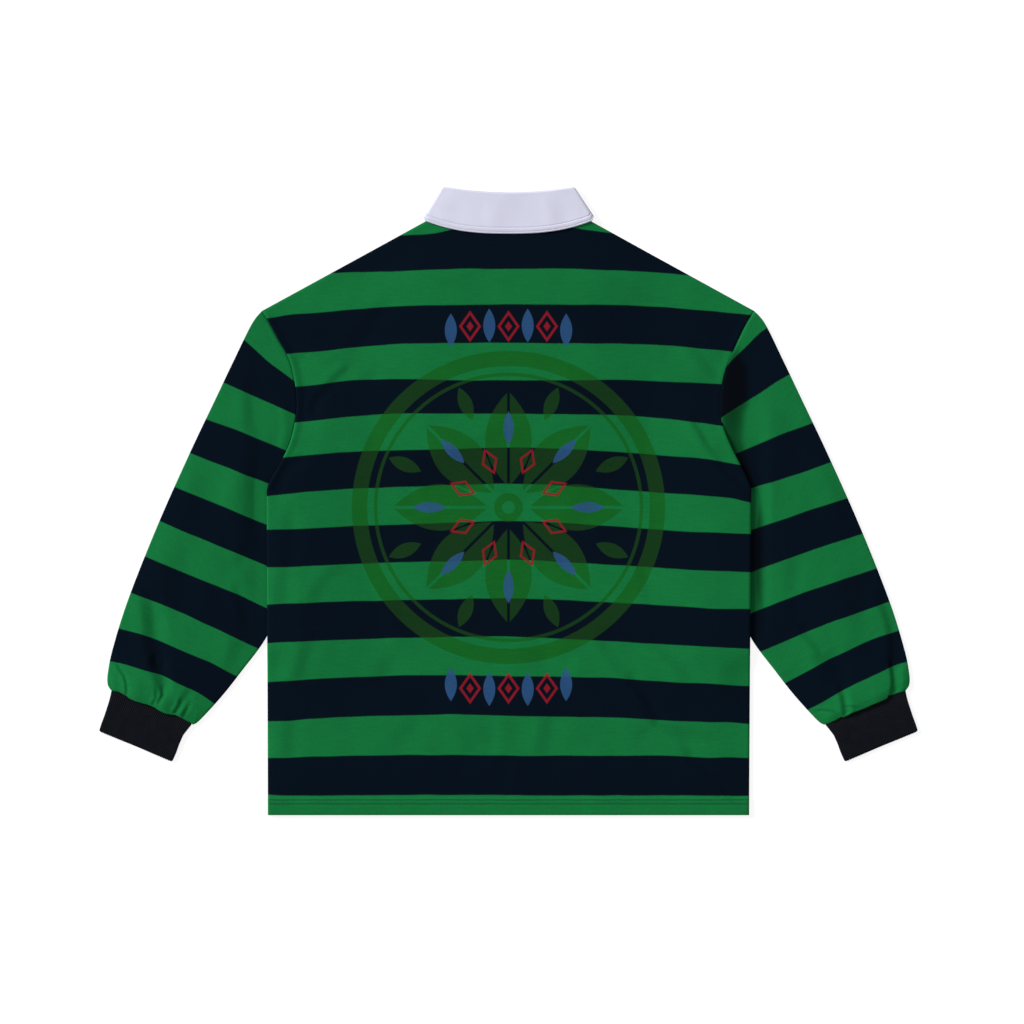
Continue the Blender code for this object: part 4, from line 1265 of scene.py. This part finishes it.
# a flattened tube that starts just inside the sleeve, its ribs strongest there, and rolled in at its end
def makeCuff(side):
    sign = -1 if side == "left" else 1
    cut = cuffCut
    half = cut["ribs"] * cut["perRib"]
    shares = acrossShares(cut["length"], cut["steps"])
    outer, inner = evenPoints(cut["outer"], shares), evenPoints(cut["inner"], shares)
    middle = cut["thick"] / 2

    def place(i, j):
        fromSeam, fromEnd = shares[j] * cut["length"], (1.0 - shares[j]) * cut["length"]
        isTop = i <= half
        u = i / half if isTop else 2.0 - i / half
        width = hypot(inner[j][0] - outer[j][0], inner[j][1] - outer[j][1])
        started = smooth(fromSeam / cut["startLength"])
        corner = 1.0 - min(1.0, fromEnd / cut["cornerRound"])
        inset = cut["inset"] * (1.0 - started) + cut["cornerRound"] * (1.0 - sqrt(1.0 - corner**2))
        out, y = mixPoint(outer[j], inner[j], mix(inset, width - inset, u) / width)
        up = readRows(seamWave[side], u) + cut["tuck"]
        out, y = movedUp(out, y, up * smooth(1.0 - fromSeam / cut["seamReach"]))
        strong = mix(1.0, cut["ribFade"][0], smooth(shares[j] / cut["ribFade"][1]))
        ribShare = strong * (0.5 - 0.5 * cos(2 * pi * u * cut["ribs"]))
        bend = roundEdge(min(u, 1.0 - u) * width, cut["edgeRound"])
        rolled = cut["rollIn"] * (1.0 - smooth(fromEnd / cut["startLength"]))
        rolled += cut["inset"] * (1.0 - started)
        wave = waveSum([cut["wave"]], sign * out, y) if isTop else 0.0
        reach = middle - cut["ribHeight"] - rolled + (cut["ribHeight"] * ribShare + wave) * started
        spot = (sign * out, y, middle + (reach if isTop else -reach) * bend)
        # the rib share goes out as the hoop, which paints shade between the ribs and light on their crests
        return spot, (u * width, fromSeam), ribShare, 0.0

    bm = clothGrid(2 * half, cut["steps"], place)
    closeTube(bm)
    piece = finishPiece("cuff" + side.capitalize(), bm, "rib", cut["wall"])
    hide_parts("cuff_" + side)
    return piece


cuffs = {side: makeCuff(side) for side in ("left", "right")}
print("cuffs made")

collarCut = {
    "middle": 3.7,
    "stand": (0.2, 1.8),
    "leaf": (2.1, 3.7),
    "half": {"neck": 85.7, "fold": 79.6, "leaf": 103.2},
    "sideY": {"neck": 358.3, "fold": 392.5, "leaf": 349.4},
    "backDip": {"neck": 14.2, "fold": 6.5, "leaf": 15.7},
    "backBow": {"neck": 2.0, "fold": 2.0, "leaf": 2.6},
    "frontDip": {"neck": 85.5, "fold": 88.7},
    "cornerRise": {"neck": 0.0, "fold": -1.5, "leaf": 6.3},
    "point": (50.0, 247.5),
    "opening": 0.5,
    "backEnd": 0.45,  # shares of half the way round where the back ends and the front starts
    "frontStart": 0.58,
    "halfStations": 110,
    "boxy": 0.65,
    "edgeRaise": 0.35,
    "stitchLines": (2.4, 7.6),
    "stitchDepth": 0.42,
    "stitchHalf": 0.6,
    "waves": ((0.55, 34, 5.0),),
    "edgePucker": ((0.1, 5, 3.0),),
    "puckerNear": (9.0, 3.0),
    "lumpsFromEdge": 9.0,
    "lumpsFromEnd": 0.08,
    "bandStep": (8.0, 1.2),
    "frontTuck": 0.2,
    # painted shade on the collar's leaf: darker to the right of shadeFrom, in the band along the edge, and in
    # one patch on the left
    "shade": 0.05,  # darker to the right of this place, and once more in the band along the edge
    "shadeFrom": (-72.0, 50.0),
    "shadeBand": (8.0, 1.5),
    "patch": {"paintedShade": 0.04, "x": (-74.0, 12.0), "y": (366.0, 6.0)},
}
collarCreases = [layCrease(row) for row in [
    ([(-90, 357), (-84, 352), (-70, 348, 0.6)], 3, 0.5, 0.4, 9),
    ([(-30, 366, 0.6), (-26, 352)], 8, -0.5, 0.5, 16),
    ([(52, 372, 0.6), (60, 358), (62, 348, 0.5)], 7, 0.6, 0.5, 15),
    ([(86, 376, 0.6), (94, 362)], 5, 0.5, 0.4, 12),
]]


# a share of half the way round the neck, as on the back, round the side or on the front
def collarStation(share):
    backEnd, frontStart = collarCut["backEnd"], collarCut["frontStart"]
    if share < backEnd:
        return "back", share / backEnd
    if share < frontStart:
        return "turn", pi * (share - backEnd) / (frontStart - backEnd)
    return "front", (share - frontStart) / (1.0 - frontStart)


# a point on the neck, fold or leaf line, at a distance from the band's middle
def collarPoint(line, station, radius):
    where, share = station
    cut = collarCut
    half, sideY, middle = cut["half"][line], cut["sideY"][line], cut["middle"]
    if where == "back":
        y = sideY - cut["backDip"][line] * (1 - share ** cut["backBow"][line])
        return Vector((half * share, y, middle + radius))
    if where == "turn":
        y = sideY + cut["cornerRise"][line] * sin(share) ** 1.5
        aside, above = abs(sin(share)) ** cut["boxy"], copysign(abs(cos(share)) ** cut["boxy"], cos(share))
        return Vector((half + radius * aside, y, middle + radius * above))
    if line == "leaf":
        x = mix(half, cut["point"][0], share**1.3)
        return Vector((x, mix(sideY, cut["point"][1], share**0.9), middle - radius))
    x = mix(half, cut["opening"], share)
    return Vector((x, sideY - cut["frontDip"][line] * (1 - (x / half) ** 2), middle - radius))


# a point between two lines of the band
def bandPoint(low, high, station, radius, share):
    return collarPoint(low, station, radius).lerp(collarPoint(high, station, radius), share)


def leafLength(station):
    outLeaf = collarCut["leaf"][1]
    return (collarPoint("fold", station, outLeaf) - collarPoint("leaf", station, outLeaf)).length


# how the leaf's outside stands up in the pressed band along its edge, and dips at its two rows of stitches
def leafRelief(station, fromEdge):
    raised = collarCut["edgeRaise"] if station[0] == "back" else 0.0
    height = raised * rampDown(fromEdge, *collarCut["bandStep"])
    for line in collarCut["stitchLines"]:
        height -= collarCut["stitchDepth"] * hump(fromEdge - line, collarCut["stitchHalf"])
    return height


# a point on the leaf's outside, at a distance in from its edge, with its relief
def leafPoint(share, fromEdge, proud=0.0):
    cut = collarCut
    station = collarStation(abs(share))
    length = leafLength(station)
    radius = cut["leaf"][1] + leafRelief(station, fromEdge) + proud
    spot = bandPoint("fold", "leaf", station, radius, 1.0 - fromEdge / length)
    if share < 0:
        spot.x = -spot.x
    if station[0] == "back":
        inside = smooth(fromEdge / cut["lumpsFromEdge"]) * smooth((length - fromEdge) / cut["lumpsFromEdge"])
        inside *= smooth((1.0 - station[1]) / cut["lumpsFromEnd"])
        lumps = creaseSum(collarCreases, spot.x, spot.y)[0] + waveSum(cut["waves"], spot.x, spot.y)
        pucker = waveSum(cut["edgePucker"], spot.x, spot.y) * rampDown(fromEdge, *cut["puckerNear"])
        spot.z += lumps * inside + pucker
    return spot


rimRound = 0.6  # how far the leaf's edge bulges


# places round the band's section: from the neck over the fold to the leaf's edge, and back inside
def collarSection():
    inStand, outStand = collarCut["stand"]
    inLeaf, outLeaf = collarCut["leaf"]
    places = [("line", 0.93 * k / 5, inStand) for k in range(6)]
    for k in range(1, 8):
        turn = pi * k / 8
        places.append(("line", 0.95 + 0.05 * sin(turn), mix(inStand, outLeaf, 0.5 - 0.5 * cos(turn))))
    places += [("leaf", share, 0.0)
               for share in (0.985, 0.95, 0.88, 0.8, 0.72, 0.64, 0.56, 0.48, 0.4, 0.32, 0.24)]
    places += [("edge", far, 0.0) for far in (10.0, 9.2, 8.6, 8.2, 7.9, 7.6, 7.3, 7.0, 6.4, 5.4, 4.4, 3.5,
                                              3.0, 2.7, 2.4, 2.1, 1.8, 1.3, 0.7)]
    for k in range(1, 6):
        turn = pi * k / 6
        places.append(("rim", rimRound * sin(turn), mix(outLeaf, inLeaf, 0.5 - 0.5 * cos(turn))))
    places += [("line", mix(1.97, 1.08, k / 7), inLeaf) for k in range(8)]
    for k in range(1, 4):
        turn = pi * k / 4
        along = 1.05 - 0.09 * sin(turn) - 0.05 * (1 - cos(turn))
        places.append(("line", along, mix(inLeaf, outStand, 0.5 - 0.5 * cos(turn))))
    places += [("line", mix(0.93, 0.0, k / 5), outStand) for k in range(6)]
    return places


# painted shade on the leaf: little on the left, more to its right, more again in the band along its edge, and
# in one patch
def leafPaintedShade(spot, fromEdge):
    cut, patch = collarCut, collarCut["patch"]
    (atX, wide), (atY, high) = patch["x"], patch["y"]
    atPatch = patch["paintedShade"] * hump(spot.x - atX, wide) * hump(spot.y - atY, high)
    shade = rampUp(spot.x, *cut["shadeFrom"]) + rampDown(fromEdge, *cut["shadeBand"])
    return cut["shade"] * shade + atPatch


# the collar: one folded band round the neck, its leaf's edge pressed, turned and stitched twice
def makeCollar():
    stations = 2 * collarCut["halfStations"]
    section = collarSection()
    clothWide, clothDeep = 260.0, 48.0

    def place(i, j):
        share = 2.0 * j / stations - 1.0
        station = collarStation(abs(share))
        kind, value, radius = section[i % len(section)]
        length = leafLength(station)
        if kind in ("leaf", "edge"):
            fromEdge = value * length if kind == "leaf" else value
            spot = leafPoint(share, fromEdge)
            # each point of the leaf takes its painted shade
            return spot, (share * clothWide, clothDeep + 2.0 - fromEdge), 0.0, leafPaintedShade(spot, fromEdge)
        if kind == "rim":
            radius -= collarCut["frontTuck"] if station[0] == "front" else 0.0
            value = 2.0 - (rimRound - value) / length
        if value > 1.0:
            spot = bandPoint("fold", "leaf", station, radius, value - 1.0)
        else:
            spot = bandPoint("neck", "fold", station, radius, value)
        if share < 0:
            spot.x = -spot.x
        return spot, (share * clothWide, value * clothDeep), 0.0, 0.0

    bm = clothGrid(len(section), stations, place)
    bmesh.ops.remove_doubles(bm, verts=bm.verts, dist=weldGap)
    bmesh.ops.holes_fill(bm, edges=[edge for edge in bm.edges if edge.is_boundary], sides=0)
    bmesh.ops.recalc_face_normals(bm, faces=bm.faces)
    piece = finishPiece("collarBand", bm, "twill")
    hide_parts("collar")
    return piece


collar = makeCollar()
print("collar made")

placketCut = {
    "half": 16.0,
    "top": 270.0,
    "length": 158.0,
    "wall": 1.4,
    "gap": 0.5,
    "columns": 36,
    "rows": 96,
    "stitchLine": 2.2,
    "grooveDepth": 0.3,
    "grooveHalf": 0.6,
    "press": 0.35,  # how much thinner the pressed edge is, and over which width
    "pressWidth": 0.8,
    "crowd": 0.6,  # how much closer the rows lie at the bottom
}


# the strip down the front, seen from underneath: a pressed edge, and a groove for its stitches
def placketSpot(x, y):
    cut = placketCut
    fromEdge = min(cut["half"] - abs(x), y - cut["top"] + cut["length"])
    z = frontHeight(x, y) - cut["gap"] - cut["wall"]
    z += cut["grooveDepth"] * hump(fromEdge - cut["stitchLine"], cut["grooveHalf"])
    return Vector((x, y, z + cut["press"] * (1.0 - smooth(fromEdge / cut["pressWidth"]))))


def makePlacket():
    cut = placketCut

    def place(i, j):
        column = 2.0 * i / cut["columns"] - 1.0
        x = -cut["half"] * sin(column * pi / 2)
        row = j / cut["rows"]
        y = cut["top"] - cut["length"] * (1.0 - row * (1.0 - cut["crowd"] + cut["crowd"] * row))
        return placketSpot(x, y), (x, y), bodyHoop(x, y), 0.0

    bm = clothGrid(cut["columns"], cut["rows"], place)
    piece = finishPiece("placketStrip", bm, "jersey", cut["wall"] - cut["press"])
    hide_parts("placket")
    return piece


placket = makePlacket()
print("placket made")

buttonCut = {
    "places": {"upper": 222.0, "lower": 150.0},
    "cells": 9,
    "dish": 3.7,
    "face": 0.55,
    # out from the middle, and up from the face
    "profile": [(4.0, 0.42), (4.4, 0.1), (4.9, 0.0), (5.5, 0.06), (5.85, 0.32), (6.0, 0.8), (6.0, 1.2),
                (5.8, 1.65), (5.4, 1.85), (4.4, 1.9), (2.0, 1.9)],
    "holeOut": 1.25,
    "holeRadius": 0.62,
    "holeDepth": 0.9,
}


# a four-hole button, face down: a dished grid with four pits, its rim and back pulled out of the grid's edge
def makeButton(name, y):
    cut = buttonCut
    face = cut["face"]
    bm = bmesh.new()
    bmesh.ops.create_grid(bm, x_segments=cut["cells"], y_segments=cut["cells"], size=1.0)
    for vert in bm.verts:
        a, b = vert.co.x, vert.co.y
        vert.co = (a * sqrt(1 - b * b / 2) * cut["dish"], b * sqrt(1 - a * a / 2) * cut["dish"], face)
    radius = min(cut["holeRadius"], 2.0 / cut["cells"] * cut["dish"] * 0.62)
    for signX in (-1, 1):
        for signY in (-1, 1):
            middle = Vector((signX * cut["holeOut"], signY * cut["holeOut"], face))
            cell = min(bm.faces, key=lambda f: (f.calc_center_median() - middle).length)
            corners = list(cell.verts)
            pit = bmesh.ops.extrude_discrete_faces(bm, faces=[cell])["faces"][0]
            for vert in corners + list(pit.verts):
                way = Vector((vert.co.x - middle.x, vert.co.y - middle.y, 0.0))
                vert.co = middle + way.normalized() * radius
            bmesh.ops.translate(bm, vec=(0, 0, cut["holeDepth"]), verts=pit.verts)
    ring = [edge for edge in bm.edges if edge.is_boundary]
    for out, up in cut["profile"]:
        made = bmesh.ops.extrude_edge_only(bm, edges=ring)["geom"]
        verts = [item for item in made if isinstance(item, bmesh.types.BMVert)]
        ring = [item for item in made if isinstance(item, bmesh.types.BMEdge) and item.is_boundary]
        for vert in verts:
            way = Vector((vert.co.x, vert.co.y, 0.0)).normalized()
            vert.co = (way.x * out, way.y * out, up)
    bmesh.ops.holes_fill(bm, edges=ring, sides=0)
    bmesh.ops.recalc_face_normals(bm, faces=bm.faces)
    bmesh.ops.translate(bm, vec=(0, y, 0), verts=bm.verts)
    piece = finishPiece("button" + name.capitalize(), bm, "rubber")
    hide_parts("button_" + name)


for name, y in buttonCut["places"].items():
    makeButton(name, y)
print("buttons made")

stitchLook = {
    "pitch": 2.9,
    "length": 2.5,
    "flat": 0.7,
    "thick": {"hem": 0.42, "collar": 0.32, "placket": 0.3, "button": 0.34},
    "proud": {"hem": 0.12, "collar": 0.06},  # how far out of its groove the thread's middle lies
    "hemPoints": 200,
    "hemPitch": 3.0,
    "hemInset": 1.5,
}


# one stitch of thread, as a long soft bead laid along ahead
def addStitch(bm, spot, ahead, length, thick):
    made = bmesh.ops.create_icosphere(bm, subdivisions=1, radius=1.0)["verts"]
    bmesh.ops.scale(bm, vec=(length / 2, thick, thick * stitchLook["flat"]), verts=made)
    bmesh.ops.rotate(bm, cent=(0, 0, 0), matrix=ahead.to_track_quat("X", "Z").to_matrix(), verts=made)
    bmesh.ops.translate(bm, vec=spot, verts=made)


# rows of stitches: each row is a list of points on the cloth
def makeStitches(name, rows, look, thick):
    bm = bmesh.new()
    for row in rows:
        lengths = [0.0]
        for a, b in zip(row, row[1:]):
            lengths.append(lengths[-1] + (b - a).length)
        count = max(1, int(lengths[-1] / stitchLook["pitch"]))
        k = 0
        for stitch in range(count):
            wanted = (stitch + 0.5) * lengths[-1] / count
            while k < len(row) - 2 and lengths[k + 1] < wanted:
                k += 1
            spot = row[k].lerp(row[k + 1], (wanted - lengths[k]) / (lengths[k + 1] - lengths[k]))
            addStitch(bm, spot, (row[k + 1] - row[k]).normalized(), stitchLook["length"], thick)
    return finishPiece(name, bm, look)


def hemRow(up):
    points = []
    for k in range(stitchLook["hemPoints"]):
        x = -bodyCut["hemOut"] + stitchLook["hemInset"] + k * stitchLook["hemPitch"]
        y = bodyCut["hemY"] + stitchUp(up, x)
        z = backHeight(x, y)[0] + hemWall(y) - panelMesh["grooveDepth"] + stitchLook["proud"]["hem"]
        points.append(Vector((x, y, z)))
    return points


def leafRow(fromEdge):
    proud = stitchLook["proud"]["collar"]
    return [leafPoint((k / 150.0 - 1.0) * 0.985, fromEdge, proud) for k in range(301)]


def placketRow(sideways):
    cut = placketCut
    x = sideways * (cut["half"] - cut["stitchLine"])
    low = cut["top"] - cut["length"] + cut["stitchLine"]
    return [placketSpot(x, mix(low, cut["top"] - 1.0, k / 60.0)) for k in range(61)]


hemRows = [hemRow(up) for up in panelMesh["stitchLines"]]
leafRows = [leafRow(line) for line in collarCut["stitchLines"]]
placketRows = [placketRow(-1), placketRow(1)]
thick = stitchLook["thick"]
hemStitches = makeStitches("hemStitches", hemRows, "darkThread", thick["hem"])
collarStitches = makeStitches("collarStitches", leafRows, "whiteThread", thick["collar"])
placketStitches = makeStitches("placketStitches", placketRows, "darkThread", thick["placket"])


# two bars of thread across each button's holes
def makeButtonThread():
    bm = bmesh.new()
    for y in buttonCut["places"].values():
        for side in (-1, 1):
            spot = Vector((side * buttonCut["holeOut"], y, 0.5))
            addStitch(bm, spot, Vector((0, 1, 0)), 2.6 * buttonCut["holeOut"], thick["button"])
    finishPiece("buttonThread", bm, "whiteThread")


makeButtonThread()
print("stitches made")

sheets = [
    (backPanel, (0.617, 0.751), 0.412, ["front", "sleeve_left", "sleeve_right"], [hemStitches]),
    (frontPanel, (0.617, 0.751), 0.405, ["sleeve_left", "sleeve_right", "collar"], []),
    (sleeves["left"], (0.45, 0.50), 0.134, ["floor"], []),
    (sleeves["right"], (0.45, 0.50), 0.134, ["floor"], []),
    (cuffs["left"], (0.21, 0.06), 0.0117, ["floor"], []),
    (cuffs["right"], (0.21, 0.06), 0.0117, ["floor"], []),
    (collar, (0.43, 0.11), 0.036, ["back", "floor"], [collarStitches]),
    (placket, (0.034, 0.16), 0.0052, ["button_upper", "button_lower"], [placketStitches]),
]
for piece, flat, area, restsOn, sewn in sheets:
    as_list(restsOn)
    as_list(sewn)

stageLook = {
    "floor": 0.2,
    "floorGlow": 0.85,
    "floorHalf": 6.0,
    "floorDown": 0.0003,
    "cameraHeight": 6.0,
    "frameWidth": 1.28,
    "aim": (0.004375, -0.01375),
    "sunFrom": (-0.87, 0.5),
    "sunRise": 23.0,
    "sunSize": 16.0,
    "sunPower": 4.5,
    "world": 0.47,
}


# a plain pale floor, a low soft lamp from the left, even light all round and a camera straight over the shirt
def makeStage():
    look = stageLook
    bm = bmesh.new()
    bmesh.ops.create_grid(bm, x_segments=1, y_segments=1, size=look["floorHalf"])
    mesh = bpy.data.meshes.new("floor")
    bm.to_mesh(mesh)
    bm.free()
    made, tree, shader = newMaterial("paleFloor", 0.95, 0.05)
    blend = nodeMaths(tree)[2]
    place = tree.nodes.new("ShaderNodeTexCoord")
    grain = noiseOn(tree, place.outputs["Object"], 3.0)
    pale = blend(grain, (look["floor"],) * 3, (look["floor"] * 0.99,) * 3)
    tree.links.new(pale, shader.inputs["Base Color"])
    shader.inputs["Emission Color"].default_value = (1.0, 1.0, 1.0, 1.0)
    shader.inputs["Emission Strength"].default_value = look["floorGlow"]
    mesh.materials.append(made)
    floor = bpy.data.objects.new("floor", mesh)
    floor.location.z = -look["floorDown"]
    bpy.context.scene.collection.objects.link(floor)
    light = bpy.data.lights.new("lowLamp", "SUN")
    light.angle = radians(look["sunSize"])
    light.energy = look["sunPower"]
    lamp = bpy.data.objects.new("lowLamp", light)
    rise = radians(look["sunRise"])
    fromWay = Vector((look["sunFrom"][0] * cos(rise), look["sunFrom"][1] * cos(rise), sin(rise)))
    lamp.rotation_euler = (-fromWay).to_track_quat("-Z", "Y").to_euler()
    bpy.context.scene.collection.objects.link(lamp)
    world = bpy.data.worlds.new("softRoom")
    world.use_nodes = True
    world.node_tree.nodes["Background"].inputs["Color"].default_value = (1.0, 1.0, 1.0, 1.0)
    world.node_tree.nodes["Background"].inputs["Strength"].default_value = look["world"]
    bpy.context.scene.world = world
    bpy.context.scene.view_settings.view_transform = "Standard"
    view = bpy.data.cameras.new("camera")
    view.lens = view.sensor_width * look["cameraHeight"] / look["frameWidth"]
    view.clip_end = 30.0
    camera = bpy.data.objects.new("camera", view)
    camera.location = (*look["aim"], look["cameraHeight"])
    bpy.context.scene.collection.objects.link(camera)
    bpy.context.scene.camera = camera


makeStage()
print("stage made")
